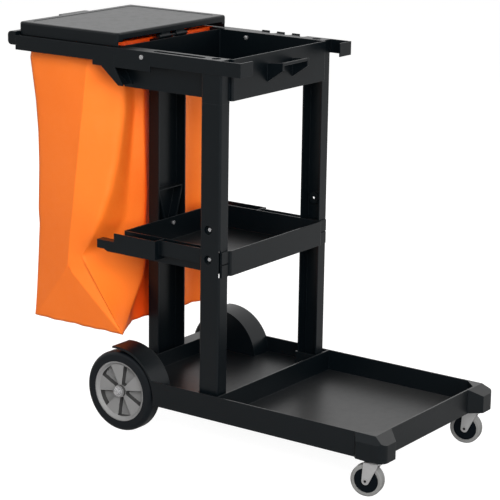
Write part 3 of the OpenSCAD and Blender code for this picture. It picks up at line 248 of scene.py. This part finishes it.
def moulded(name, colour, rough, grain_scale, grain_depth, edge_radius, edge_wear_highlight_gain,
            dust_and_sheen=0.0, ior=1.5, painted_wall_shade=1.0):
    """A moulded finish with edges lighter as wear and as painted highlight, grain, and dust with a painted
    sheen; a wall shade below 1 paints shade on the walls round the axle.
    """
    material, tree, shader = new_material(name)
    edges = use_group(tree, EDGES, Radius=edge_radius)
    grain = use_group(tree, GRAIN, Scale=grain_scale, Patch=MOULDED_PATCH)
    dust_and_sheen_mask = use_group(tree, DUST_AND_SHEEN, Amount=dust_and_sheen).outputs["Dust and sheen"]
    worn = toned_colour(tree, colour, MOULDED_TONES, edge_wear_highlight_gain, edges, grain)
    # Dust with painted sheen: up-facing faces lightened towards grey
    shown = blend_colour(tree, dust_and_sheen_mask, worn, DUST_AND_SHEEN_COLOUR)
    # Painted shade: walls that run round the axle are darkened to this share of the colour
    if painted_wall_shade < 1.0:
        along_axle = math_node(tree, "ABSOLUTE", split(tree, surface_normal(tree))["Y"])
        shown = blend_colour(tree, ramp(tree, along_axle, WALL_SHADE_TURN), rgb(colour, painted_wall_shade), shown)
    tree.links.new(shown, shader.inputs["Base Color"])
    gloss = patchy_gloss(tree, rough, MOULDED_GLOSS, grain)
    dulled = math_node(tree, "ADD", gloss, times(tree, dust_and_sheen_mask, DUST_DULLNESS), clamp=True)
    tree.links.new(dulled, shader.inputs["Roughness"])
    tree.links.new(grain_normal(tree, MOULDED_BUMP, grain_depth, edges, grain), shader.inputs["Normal"])
    shader.inputs["IOR"].default_value = ior
    return material


BLACK_PLASTIC = moulded("black moulded plastic", (0.0018, 0.0032, 0.0043), rough=0.33, grain_scale=1500.0,
                        grain_depth=0.1 * MM, edge_radius=1.4 * MM, edge_wear_highlight_gain=1.8, dust_and_sheen=0.08, ior=1.34)
TYRE_RUBBER = moulded("tyre rubber", (0.0020, 0.0034, 0.0050), rough=0.44, grain_scale=1100.0,
                      grain_depth=0.15 * MM, edge_radius=1.0 * MM, edge_wear_highlight_gain=1.5, dust_and_sheen=0.002, ior=1.33)
# Grey hub plastic, with painted shade on its window walls
HUB_PLASTIC = moulded("grey hub plastic", (0.205, 0.205, 0.205), rough=0.42, grain_scale=1300.0,
                      grain_depth=0.1 * MM, edge_radius=1.2 * MM, edge_wear_highlight_gain=1.3, painted_wall_shade=0.18)
TREAD_RUBBER = moulded("grey caster tread", (0.165, 0.165, 0.162), rough=0.48, grain_scale=1200.0,
                       grain_depth=0.12 * MM, edge_radius=0.8 * MM, edge_wear_highlight_gain=1.2)
HUB_DISC = moulded("black caster disc", (0.0012, 0.0026, 0.0042), rough=0.33, grain_scale=1400.0,
                   grain_depth=0.1 * MM, edge_radius=0.8 * MM, edge_wear_highlight_gain=2.0, ior=1.2)


# Metals

METAL_TONES = (0.94, 1.04)
METAL_GLOSS = (-0.03, 0.04)
METAL_PATCH = 30.0
METAL_BUMP = 0.1
METAL_GRAIN_DEPTH = 0.1 * MM
# Edges lighter by this gain, as wear and as painted highlight
METAL_EDGE_WEAR_HIGHLIGHT_GAIN = 1.15
METALLIC = 0.8
# The bore of a rivet, painted dark as shade: the radii between which the painted shade ends, in metres, and
# how dark it is
BORE_SHADE_RIM = (2.9 * MM, 3.4 * MM)
BORE_SHADE_GAIN = 0.02


def away_from_axle(tree, joint):
    """How far each point of a piece at rest lies from a joint's axis, in metres."""
    offset = put(tree, "ShaderNodeVectorMath", {"operation": "SUBTRACT"}, i0=object_place(tree),
                 i1=tuple(joint["pos_m"])).outputs["Vector"]
    across = put(tree, "ShaderNodeVectorMath", {"operation": "CROSS_PRODUCT"}, i0=offset,
                 i1=tuple(joint["axis"])).outputs["Vector"]
    return put(tree, "ShaderNodeVectorMath", {"operation": "LENGTH"}, i0=across).outputs["Value"]


def metal(name, colour, rough, grain_scale, edge_radius, axle=None):
    """A plated, bright or blackened steel with faint mottling; the bore along a named axle is painted dark
    as shade.
    """
    material, tree, shader = new_material(name)
    edges = use_group(tree, EDGES, Radius=edge_radius)
    grain = use_group(tree, GRAIN, Scale=grain_scale, Patch=METAL_PATCH)
    shown = toned_colour(tree, colour, METAL_TONES, METAL_EDGE_WEAR_HIGHLIGHT_GAIN, edges, grain)
    # Painted shade: the bore round the axle is darkened
    if axle:
        outside_bore_shade = ramp(tree, away_from_axle(tree, JOINTS[axle]), BORE_SHADE_RIM)
        shown = blend_colour(tree, outside_bore_shade, rgb(colour, BORE_SHADE_GAIN), shown)
    tree.links.new(shown, shader.inputs["Base Color"])
    tree.links.new(patchy_gloss(tree, rough, METAL_GLOSS, grain), shader.inputs["Roughness"])
    tree.links.new(grain_normal(tree, METAL_BUMP, METAL_GRAIN_DEPTH, edges, grain), shader.inputs["Normal"])
    shader.inputs["Metallic"].default_value = METALLIC
    return material


def rivet(side):
    """The tubular rivet that carries a caster's wheel, with shade painted dark in its bore."""
    return metal("zinc rivet " + side, (0.50, 0.50, 0.50), rough=0.36, grain_scale=500.0,
                 edge_radius=0.6 * MM, axle="caster_wheel_" + side + "_turn")


ZINC = metal("zinc plate", (0.56, 0.56, 0.56), rough=0.36, grain_scale=500.0, edge_radius=0.8 * MM)
STEEL = metal("bright steel", (0.55, 0.55, 0.56), rough=0.28, grain_scale=900.0, edge_radius=1.8 * MM)
DARK_STEEL = metal("blackened steel", (0.03, 0.03, 0.032), rough=0.40, grain_scale=900.0,
                   edge_radius=0.6 * MM)


# Cloth of the bag

CLOTH_TONES = ((0.86, 0.172, 0.016, 1.0), (0.89, 0.186, 0.019, 1.0))
CLOTH_TONE_SCALE = 7.0
CLOTH_GLOSS = (0.46, 0.58)
CLOTH_SPECULAR = 0.45
# Painted shade: cloth near other surfaces is painted redder, as the deeper orange of shade among folds; its
# tone, how far the painted shade reaches, in metres, and the open shares it fades over
PAINTED_SHADE_TONE = (0.88, 0.065, 0.004, 1.0)
PAINTED_SHADE_REACH = 0.35
PAINTED_SHADE_SPAN = (0.20, 0.60)
PAINTED_SHADE_SAMPLES = 8
# The weave: its threads' pitch, in metres, their darker tone and the most of it that shows
THREAD_PITCH = 0.9 * MM
THREAD_TONE = (0.72, 0.12, 0.010, 1.0)
THREAD_SHARE = 0.10
# The bump: the heights of weave and small creases, and the depth of both, in metres
WEAVE_HEIGHT = 0.3
CREASE_HEIGHT = 1.2
CREASE_SCALE = 60.0
CLOTH_BUMP = 0.25
CLOTH_BUMP_DEPTH = 0.4 * MM


def coated_cloth():
    """The bag's coated cloth: a fine plain weave under a satin coat, with redder shade painted where other
    surfaces are near.
    """
    material, tree, shader = new_material("orange coated cloth")
    place = object_place(tree)
    apart = split(tree, place)
    across = math_node(tree, "ADD", apart["X"], apart["Y"])
    threads = 2 * math.pi / THREAD_PITCH
    warp = math_node(tree, "SINE", times(tree, across, threads))
    weft = math_node(tree, "SINE", times(tree, apart["Z"], threads))
    woven = times(tree, warp, weft)
    broad = noise(tree, place, CLOTH_TONE_SCALE, detail=3.0, rough=0.5)
    creased = noise(tree, place, CREASE_SCALE, detail=5.0, rough=0.6)
    tone = blend_colour(tree, ramp(tree, broad, TONE_SPAN), *CLOTH_TONES)
    # Painted shade: ambient occlusion turns the cloth redder where it is shaded
    shade_probe = put(tree, "ShaderNodeAmbientOcclusion", {"samples": PAINTED_SHADE_SAMPLES}, Distance=PAINTED_SHADE_REACH)
    unshaded_share = ramp(tree, shade_probe.outputs["AO"], PAINTED_SHADE_SPAN)
    tone = blend_colour(tree, unshaded_share, PAINTED_SHADE_TONE, tone)
    thread_share = ramp(tree, woven, (-1.0, 1.0), (0.0, THREAD_SHARE))
    tree.links.new(blend_colour(tree, thread_share, tone, THREAD_TONE), shader.inputs["Base Color"])
    tree.links.new(ramp(tree, creased, TONE_SPAN, CLOTH_GLOSS), shader.inputs["Roughness"])
    height = math_node(tree, "ADD", times(tree, woven, WEAVE_HEIGHT), times(tree, creased, CREASE_HEIGHT))
    bump = put(tree, "ShaderNodeBump", Strength=CLOTH_BUMP, Distance=CLOTH_BUMP_DEPTH, Height=height)
    tree.links.new(bump.outputs["Normal"], shader.inputs["Normal"])
    shader.inputs["Specular IOR Level"].default_value = CLOTH_SPECULAR
    return material


BAG_CLOTH = coated_cloth()

# The finish of each piece that isn't black plastic, by its name with or without its side
FINISHES = {
    "rear_tyre": TYRE_RUBBER,
    "rear_hub": HUB_PLASTIC,
    "rear_axle": STEEL,
    "axle_washers": STEEL,
    "axle_caps": STEEL,
    "caster_tread": TREAD_RUBBER,
    "caster_hub": HUB_DISC,
    "caster_fork": ZINC,
    "caster_stem": ZINC,
    "caster_axle_left": rivet("left"),
    "caster_axle_right": rivet("right"),
    "post_screws": STEEL,
    "column_screws": STEEL,
    "frame_bolts": STEEL,
    "handle_screws": STEEL,
    "bracket_screws": STEEL,
    "hinge_pin": DARK_STEEL,
    "bag": BAG_CLOTH,
}


def finish_nodes():
    for name, node in NODES.items():
        kind = name.removesuffix("_left").removesuffix("_right")
        finish = FINISHES.get(name) or FINISHES.get(kind, BLACK_PLASTIC)
        node.data.materials.clear()
        node.data.materials.append(finish)


finish_nodes()


# Bag

RIM_Z = 936
FOOT_Z = 226
BAG_ROWS = 130
BAG_SPAN_STEP = 7.0
CLOTH_THICKNESS = 1.0
# How freely a fold line smooths, by height: a crease that eases at its foot, and a corner sharp low down
CREASE = [(226, 0.12), (360, 0.12), (376, 0.05), (936, 0.05)]
DOG_EAR = [(226, 0.05), (430, 0.05), (470, 0.4), (540, 1.0), (936, 1.0)]
# A line that smooths no more than this also shades as a sharp crease
SHARP_EASE = 0.06
# The fold lines round the bag: name, how freely it smooths from 0 to 1, and its places from the rim down
# Each place is the height, the distance from the axle and the distance from the middle, in mm
FOLDS = [
    ("rear right corner", 0.25, [
        (936, -313, -186), (902, -313, -186), (882, -318, -187), (861, -315, -186), (777, -304, -183),
        (700, -299, -181), (611, -298, -180), (501, -302, -180), (465, -299, -180), (370, -305, -180),
        (290, -310, -180), (226, -314, -180)]),
    ("right crease, rear", CREASE, [
        (936, -126, -187), (900, -129, -187), (878, -131, -193), (729, -147, -198), (586, -164, -200),
        (445, -182, -201), (374, -189, -201), (226, -312, -181)]),
    ("right crease, front", CREASE, [
        (936, -124, -187), (900, -127, -187), (878, -129, -193), (729, -145, -198), (586, -162, -200),
        (445, -180, -201), (374, -187, -201), (226, -32, -181)]),
    ("side hollow", 1.0, [
        (936, -104, -187), (900, -104, -187), (836, -107, -160), (765, -108, -157), (650, -116, -171),
        (565, -128, -187), (503, -140, -194), (451, -155, -195), (406, -171, -195), (374, -164, -193),
        (300, -98, -186), (250, -53, -182), (226, -31, -181)]),
    ("dog ear groove", DOG_EAR, [
        (936, -76, -186.5), (900, -76, -186.5), (836, -76, -145), (765, -77, -141), (650, -84, -156),
        (565, -93, -176), (503, -108, -187), (451, -132, -189), (406, -158, -189), (374, -141, -185),
        (300, -87, -181), (250, -50, -180), (226, -31, -181)]),
    ("front right corner", DOG_EAR, [
        (936, -66, -186), (900, -66, -186), (836, -66, -136), (765, -66, -131), (650, -72, -149),
        (565, -80, -172), (503, -97, -185), (451, -124, -187), (406, -153, -188), (226, -30, -181)]),
    ("front hollow", 1.0, [
        (936, -64, -140), (900, -64, -140), (836, -70, -90), (765, -80, -75), (650, -86, -82),
        (565, -90, -90), (490, -98, -92), (440, -116, -118), (406, -134, -160), (384, -112, -140),
        (343, -90, -135), (251, -53, -150), (226, -31, -179)]),
    ("front ridge", 1.0, [
        (936, -62, -95), (836, -62, -60), (724, -62, -58), (622, -62, -52), (546, -64, -44),
        (485, -66, -46), (430, -62, -46), (384, -60, -48), (343, -60, -58), (300, -61, -86),
        (251, -62, -118), (226, -36, -172)]),
    ("front fall", 1.0, [
        (936, -62, -52), (724, -72, -20), (546, -80, -10), (430, -92, -15), (343, -100, -30),
        (251, -98, -60), (226, -90, -70)]),
    ("front middle", 1.0, [(936, -62, 0), (724, -74, 25), (430, -84, 30), (226, -84, 20)]),
    ("left ridge", 1.0, [
        (936, -62, 90), (724, -64, 100), (546, -66, 105), (343, -70, 110), (226, -72, 110)]),
    ("left hollow", 1.0, [
        (936, -62, 140), (724, -78, 140), (546, -84, 140), (343, -84, 150), (226, -74, 150)]),
    ("front left corner", 0.5, [
        (936, -64, 187), (900, -64, 187), (724, -62, 192), (546, -66, 194), (343, -64, 194),
        (226, -60, 188)]),
    ("left crease, front", 0.05, [
        (936, -150, 187), (900, -152, 187), (724, -165, 198), (374, -185, 200), (226, -64, 181)]),
    ("left crease, rear", 0.05, [
        (936, -152, 187), (900, -154, 187), (724, -167, 198), (374, -187, 200), (226, -311, 181)]),
    ("rear left corner", 0.5, [(936, -313, 186), (724, -302, 181), (501, -300, 180), (226, -312, 180)]),
    ("rear left hollow", 1.0, [
        (936, -313.5, 105), (860, -309, 100), (724, -296, 96), (560, -286, 80), (430, -289, 66),
        (343, -296, 90), (226, -308, 110)]),
    ("rear middle", 1.0, [
        (936, -313.5, 0), (724, -308, 6), (501, -305, 12), (343, -307, 0), (226, -309, 0)]),
    ("rear right hollow", 1.0, [
        (936, -313.5, -100), (860, -311, -96), (724, -298, -104), (590, -288, -112), (450, -288, -92),
        (343, -296, -80), (226, -308, -90)]),
]
# Smoothing: rounds, the step of each, how freely the foot smooths, and the share across the columns
SMOOTHING_ROUNDS = 11
SMOOTHING_STEP = 0.5
FOOT_EASE = 0.15
ACROSS_SHARE = 0.65
# The foot's edge waves by this much, fading out at this height, in mm, on a long and a short wave
FOOT_WAVE = 0.8
FOOT_WAVE_TOP = 262
LONG_WAVE = 17.0
SHORT_WAVE = 7.3
SHORT_WAVE_SHARE = 0.7
SHORT_WAVE_START = 1.0
# The hem turned over the frame: reach at the rear, sides and front, height, and height at the front, in mm
HEM_LOOPS = [
    (6.5, 18.0, 12.9, 938.9, 916.0),
    (6.5, 18.0, 12.9, 939.1, 938.6),
    (4.0, 15.5, 11.0, 939.4, 939.4),
    (1.5, 3.0, 3.0, 939.4, 939.4),
    (0.3, 0.3, 0.5, 938.0, 938.0),
]
# The rim's middle along the cart, how far from it the ends begin, and how far out the sides begin, in mm
RIM_MIDDLE_X = -188.5
RIM_ENDS = 118
RIM_SIDES = 183
# Where the front of the hem starts to hang lower, and how soon it is all the way down, in mm
HEM_DROP_X = -75
HEM_DROP_SPAN = 10
# The bottom's rings: their size beside the foot's, and their lift, in mm, and the lift of the middle
BOTTOM_RINGS = [(0.97, -0.6), (0.8, 1.5), (0.5, 4.0), (0.2, 6.0)]
BOTTOM_LIFT = 6.5


def fold_line(ease, places, heights):
    """A fold line at each height: how far from the axle and the middle, and how freely it smooths."""
    z, x, y = (np.array(v, float)[::-1] for v in zip(*places))
    if isinstance(ease, list):
        levels, shares = zip(*ease)
        ease = np.interp(heights, levels, shares)
    return np.interp(heights, z, x), np.interp(heights, z, y), ease * np.ones(BAG_ROWS)


def bag_rings():
    """Rings of points from the rim to the foot, and how freely each point smooths."""
    heights = np.linspace(RIM_Z, FOOT_Z, BAG_ROWS)
    lines = [fold_line(ease, places, heights) for _, ease, places in FOLDS]
    columns_x, columns_y, eases = [], [], []
    for k, (x, y, ease) in enumerate(lines):
        next_x, next_y, _ = lines[(k + 1) % len(lines)]
        span = np.hypot(next_x - x, next_y - y).max()
        steps = max(2, int(span / BAG_SPAN_STEP))
        for s in range(steps):
            t = s / steps
            columns_x.append(x * (1 - t) + next_x * t)
            columns_y.append(y * (1 - t) + next_y * t)
            eases.append(ease if s == 0 else np.ones(BAG_ROWS))
    columns_z = np.repeat(heights[:, None], len(columns_x), axis=1)
    points = np.stack([np.array(columns_x).T, np.array(columns_y).T, columns_z], axis=2)
    return points, np.array(eases).T


def soften(points, eases):
    """Smooths the rings across the columns and down the rows, less along the sharp creases."""
    free = eases.copy()
    free[0] = 0.0
    free[-1] = FOOT_EASE
    for _ in range(SMOOTHING_ROUNDS):
        beside = (np.roll(points, 1, axis=1) + np.roll(points, -1, axis=1)) / 2
        above = points.copy()
        above[1:-1] = (points[:-2] + points[2:]) / 2
        target = ACROSS_SHARE * beside + (1 - ACROSS_SHARE) * above
        points = points + (SMOOTHING_STEP * free[:, :, None]) * (target - points)
    return points


def wave_foot(rings):
    """Lets the bag's lower edge wave a little up and down."""
    low = np.clip((FOOT_WAVE_TOP - rings[:, :, 2]) / (FOOT_WAVE_TOP - FOOT_Z), 0, 1)
    steps = np.diff(rings[-1, :, :2], axis=0, append=rings[-1, :1, :2])
    around = np.cumsum(np.hypot(*steps.T))
    wave = np.sin(around / LONG_WAVE) + SHORT_WAVE_SHARE * np.sin(around / SHORT_WAVE + SHORT_WAVE_START)
    rings[:, :, 2] += FOOT_WAVE * low * wave[None, :]


def hem_rings(rim):
    """The rings of the hem, from its outer edge over the frame to the rim."""
    along = rim[:, 0] - RIM_MIDDLE_X
    ends = np.where(np.abs(along) > RIM_ENDS, np.sign(along), 0)
    sides = np.where(np.abs(rim[:, 1]) > RIM_SIDES, np.sign(rim[:, 1]), 0)
    at_front = ends > 0
    drop = np.where(at_front, np.clip((rim[:, 0] - HEM_DROP_X) / HEM_DROP_SPAN, 0, 1), 0)
    rings = []
    for rear_out, side_out, front_out, z, front_z in HEM_LOOPS:
        x = rim[:, 0] + ends * np.where(at_front, front_out, rear_out)
        y = rim[:, 1] + sides * side_out
        level = z + (front_z - z) * drop
        rings.append(np.stack([x, y, level], axis=1))
    return np.array(rings)


def bottom_rings(foot, middle):
    """The rings of the bottom, from the foot inwards."""
    rings = []
    for share, lift in BOTTOM_RINGS:
        ring = middle + (foot - middle) * share
        ring[:, 2] += lift
        rings.append(ring)
    return np.array(rings)


def ring_faces(rows, columns):
    """Faces with four sides between the rings, and with three from the last ring to the point after it."""
    faces = []
    for r in range(rows - 1):
        upper = r * columns
        lower = upper + columns
        for c in range(columns):
            n = (c + 1) % columns
            faces.append((upper + c, upper + n, lower + n, lower + c))
    last = (rows - 1) * columns
    pole = rows * columns
    for c in range(columns):
        faces.append((last + c, last + (c + 1) % columns, pole))
    return faces


def to_frame(points):
    """From millimetres about the axle to metres about the cart's origin."""
    moved = np.asarray(points, float) * MM
    moved[..., 0] += AXLE_X
    return moved


def mesh_piece(name, vertices, faces, material):
    mesh = bpy.data.meshes.new(name)
    mesh.from_pydata([tuple(v) for v in vertices], [], faces)
    mesh.materials.append(material)
    for polygon in mesh.polygons:
        polygon.use_smooth = True
    mesh.update()
    piece = bpy.data.objects.new(name, mesh)
    bpy.context.scene.collection.objects.link(piece)
    return piece


def mark_creases(bag, eases, rows, columns):
    """Marks the edges down the sharp fold lines."""
    sharp = np.zeros((rows + 1, columns), bool)
    rim_row = len(HEM_LOOPS)
    sharp[rim_row:rim_row + BAG_ROWS] = eases <= SHARP_EASE
    for edge in bag.data.edges:
        (row_a, column_a), (row_b, column_b) = (divmod(v, columns) for v in edge.vertices)
        down = column_a == column_b
        edge.use_edge_sharp = bool(down and sharp[row_a, column_a] and sharp[row_b, column_b])


def make_bag():
    """The hanging bag: one lofted sheet from the hem on the frame, down its folds, to its bottom."""
    rings, eases = bag_rings()
    rings = soften(rings, eases)
    wave_foot(rings)
    foot = rings[-1]
    middle = foot.mean(axis=0)
    rings = np.concatenate([hem_rings(rings[0, :, :2]), rings, bottom_rings(foot, middle)], axis=0)
    rows, columns = rings.shape[:2]
    pole = middle + np.array([0, 0, BOTTOM_LIFT])
    vertices = to_frame(np.concatenate([rings.reshape(-1, 3), pole[None, :]]))
    bag = mesh_piece("bag_cloth", vertices, ring_faces(rows, columns), BAG_CLOTH)
    mark_creases(bag, eases, rows, columns)
    thick = bag.modifiers.new("cloth thickness", "SOLIDIFY")
    thick.thickness = CLOTH_THICKNESS * MM
    thick.offset = 0.0
    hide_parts("bag")
    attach(bag, "chassis")


make_bag()


# Stage: a pale floor, a studio sky, soft lights and the camera

# The floor: half its width in metres, its grey, and the glow that makes it white to the camera
FLOOR_HALF = 12.0
FLOOR_GREY = (0.25, 0.25, 0.25)
FLOOR_WHITE = 0.93
# The floor in glossy faces: how bright it is near and far, and the way and span, in metres, it brightens
MIRRORED_FRONT = 0.17
MIRRORED_BACK = 0.41
MIRRORED_WAY = (0.58, 0.81, 0.0)
MIRRORED_SPAN = (0.2, 2.0)
# The sky in glossy faces: its white side, the span it dims over, and how bright the other side is
WHITE_SIDE = (-0.561, 0.789, 0.249)
WHITE_SPAN = (-0.2, 0.6)
DIM_SIDE = 0.85
# The sky as a light
SOFT_SKY = 0.28
SKY_COLOUR = (1.0, 0.95, 0.90, 1.0)
# The lamps: name, place and aim in metres, width in metres, and power in watts
LAMPS = [
    ("camera side", (1.8, -3.1, 2.4), (0.0, 0.0, 0.5), 2.2, 131.0),
    ("platform side", (3.0, -2.0, 1.3), (0.0, 0.0, 0.6), 1.8, 95.0),
    ("handle side", (-2.4, -2.4, 2.4), (0.0, 0.0, 0.5), 2.0, 12.0),
    ("rear side", (-3.0, 1.8, 2.0), (0.0, 0.0, 0.5), 2.2, 72.0),
    ("far side", (1.4, 3.2, 2.0), (0.0, 0.0, 0.5), 2.2, 62.0),
    ("overhead", (0.0, 0.6, 3.4), (0.0, 0.0, 0.4), 2.4, 8.0),
]
# The camera: fitted to the photograph, angles in degrees, lengths in metres
CAMERA_AZIMUTH = 35.438
CAMERA_ELEVATION = 14.381
CAMERA_ROLL = 0.833
CAMERA_DISTANCE = 4.8375
CAMERA_TARGET = Vector((0.2193 + AXLE_X, 0.0, 0.4432))
CAMERA_REACH = 100.0
CAMERA_FOCAL_PX = 2001.2
PICTURE_PX = 500
SENSOR_MM = 36.0


def seen_directly(tree, path):
    """1 for what the camera sees, also through clear pieces, and otherwise 0."""
    rays = path.outputs
    return math_node(tree, "ADD", rays["Is Camera Ray"], rays["Is Transmission Ray"], clamp=True)


def make_floor():
    """The floor: white to the camera save for the cart's shadow, a grey sweep to what mirrors it."""
    material = bpy.data.materials.new("pale floor")
    tree = empty_tree(material)
    place = put(tree, "ShaderNodeNewGeometry").outputs["Position"]
    mirrored = ramp(tree, dot(tree, place, MIRRORED_WAY), MIRRORED_SPAN, (MIRRORED_FRONT, MIRRORED_BACK))
    path = put(tree, "ShaderNodeLightPath")
    glow = math_node(tree, "ADD", times(tree, seen_directly(tree, path), FLOOR_WHITE),
                     times(tree, path.outputs["Is Glossy Ray"], mirrored))
    diffuse = put(tree, "ShaderNodeBsdfDiffuse", Color=rgb(FLOOR_GREY))
    white = put(tree, "ShaderNodeEmission", Color=WHITE, Strength=glow)
    added = put(tree, "ShaderNodeAddShader", i0=diffuse.outputs[0], i1=white.outputs[0])
    put(tree, "ShaderNodeOutputMaterial", Surface=added.outputs[0])
    corners = [(-1, -1), (1, -1), (1, 1), (-1, 1)]
    vertices = [(x * FLOOR_HALF, y * FLOOR_HALF, 0) for x, y in corners]
    floor = mesh_piece("floor", vertices, [(0, 1, 2, 3)], material)


def make_sky():
    """The studio: white to the camera, a little dimmer on one side in glossy faces, and a soft light."""
    world = bpy.data.worlds.new("studio")
    bpy.context.scene.world = world
    tree = empty_tree(world)
    path = put(tree, "ShaderNodeLightPath")
    towards = put(tree, "ShaderNodeTexCoord").outputs["Generated"]
    mirrored = ramp(tree, dot(tree, towards, WHITE_SIDE), WHITE_SPAN, (DIM_SIDE, 1.0))
    soft = put(tree, "ShaderNodeBackground", Color=SKY_COLOUR, Strength=SOFT_SKY)
    mirror = put(tree, "ShaderNodeBackground", Color=WHITE, Strength=mirrored)
    white = put(tree, "ShaderNodeBackground", Color=WHITE, Strength=1.0)
    lit = put(tree, "ShaderNodeMixShader", i0=path.outputs["Is Glossy Ray"], i1=soft.outputs[0],
              i2=mirror.outputs[0])
    mixed = put(tree, "ShaderNodeMixShader", i0=seen_directly(tree, path), i1=lit.outputs[0],
                i2=white.outputs[0])
    put(tree, "ShaderNodeOutputWorld", Surface=mixed.outputs[0])


def soft_lamp(name, place, aim, width, power):
    """A wide lamp that glossy faces don't mirror."""
    data = bpy.data.lights.new(name, "AREA")
    data.shape = "SQUARE"
    data.size = width
    data.energy = power
    lamp = bpy.data.objects.new(name, data)
    lamp.location = place
    lamp.rotation_euler = (Vector(aim) - Vector(place)).to_track_quat("-Z", "Y").to_euler()
    lamp.visible_glossy = False
    bpy.context.scene.collection.objects.link(lamp)


def make_camera():
    azimuth = math.radians(CAMERA_AZIMUTH)
    elevation = math.radians(CAMERA_ELEVATION)
    roll = math.radians(CAMERA_ROLL)
    level = math.cos(elevation)
    back = Vector((math.sin(azimuth) * level, -math.cos(azimuth) * level, math.sin(elevation)))
    right = Vector((math.cos(azimuth), math.sin(azimuth), 0.0))
    up = back.cross(right)
    turned_right = math.cos(roll) * right + math.sin(roll) * up
    turned_up = math.cos(roll) * up - math.sin(roll) * right
    turn = Matrix((turned_right, turned_up, back)).transposed()
    data = bpy.data.cameras.new("camera")
    data.sensor_width = SENSOR_MM
    data.lens = CAMERA_FOCAL_PX / PICTURE_PX * SENSOR_MM
    data.clip_end = CAMERA_REACH
    camera = bpy.data.objects.new("camera", data)
    camera.matrix_world = Matrix.Translation(CAMERA_TARGET + CAMERA_DISTANCE * back) @ turn.to_4x4()
    bpy.context.scene.collection.objects.link(camera)
    bpy.context.scene.camera = camera


make_floor()
make_sky()
for lamp_values in LAMPS:
    soft_lamp(*lamp_values)
make_camera()
bpy.context.scene.view_settings.view_transform = "Standard"
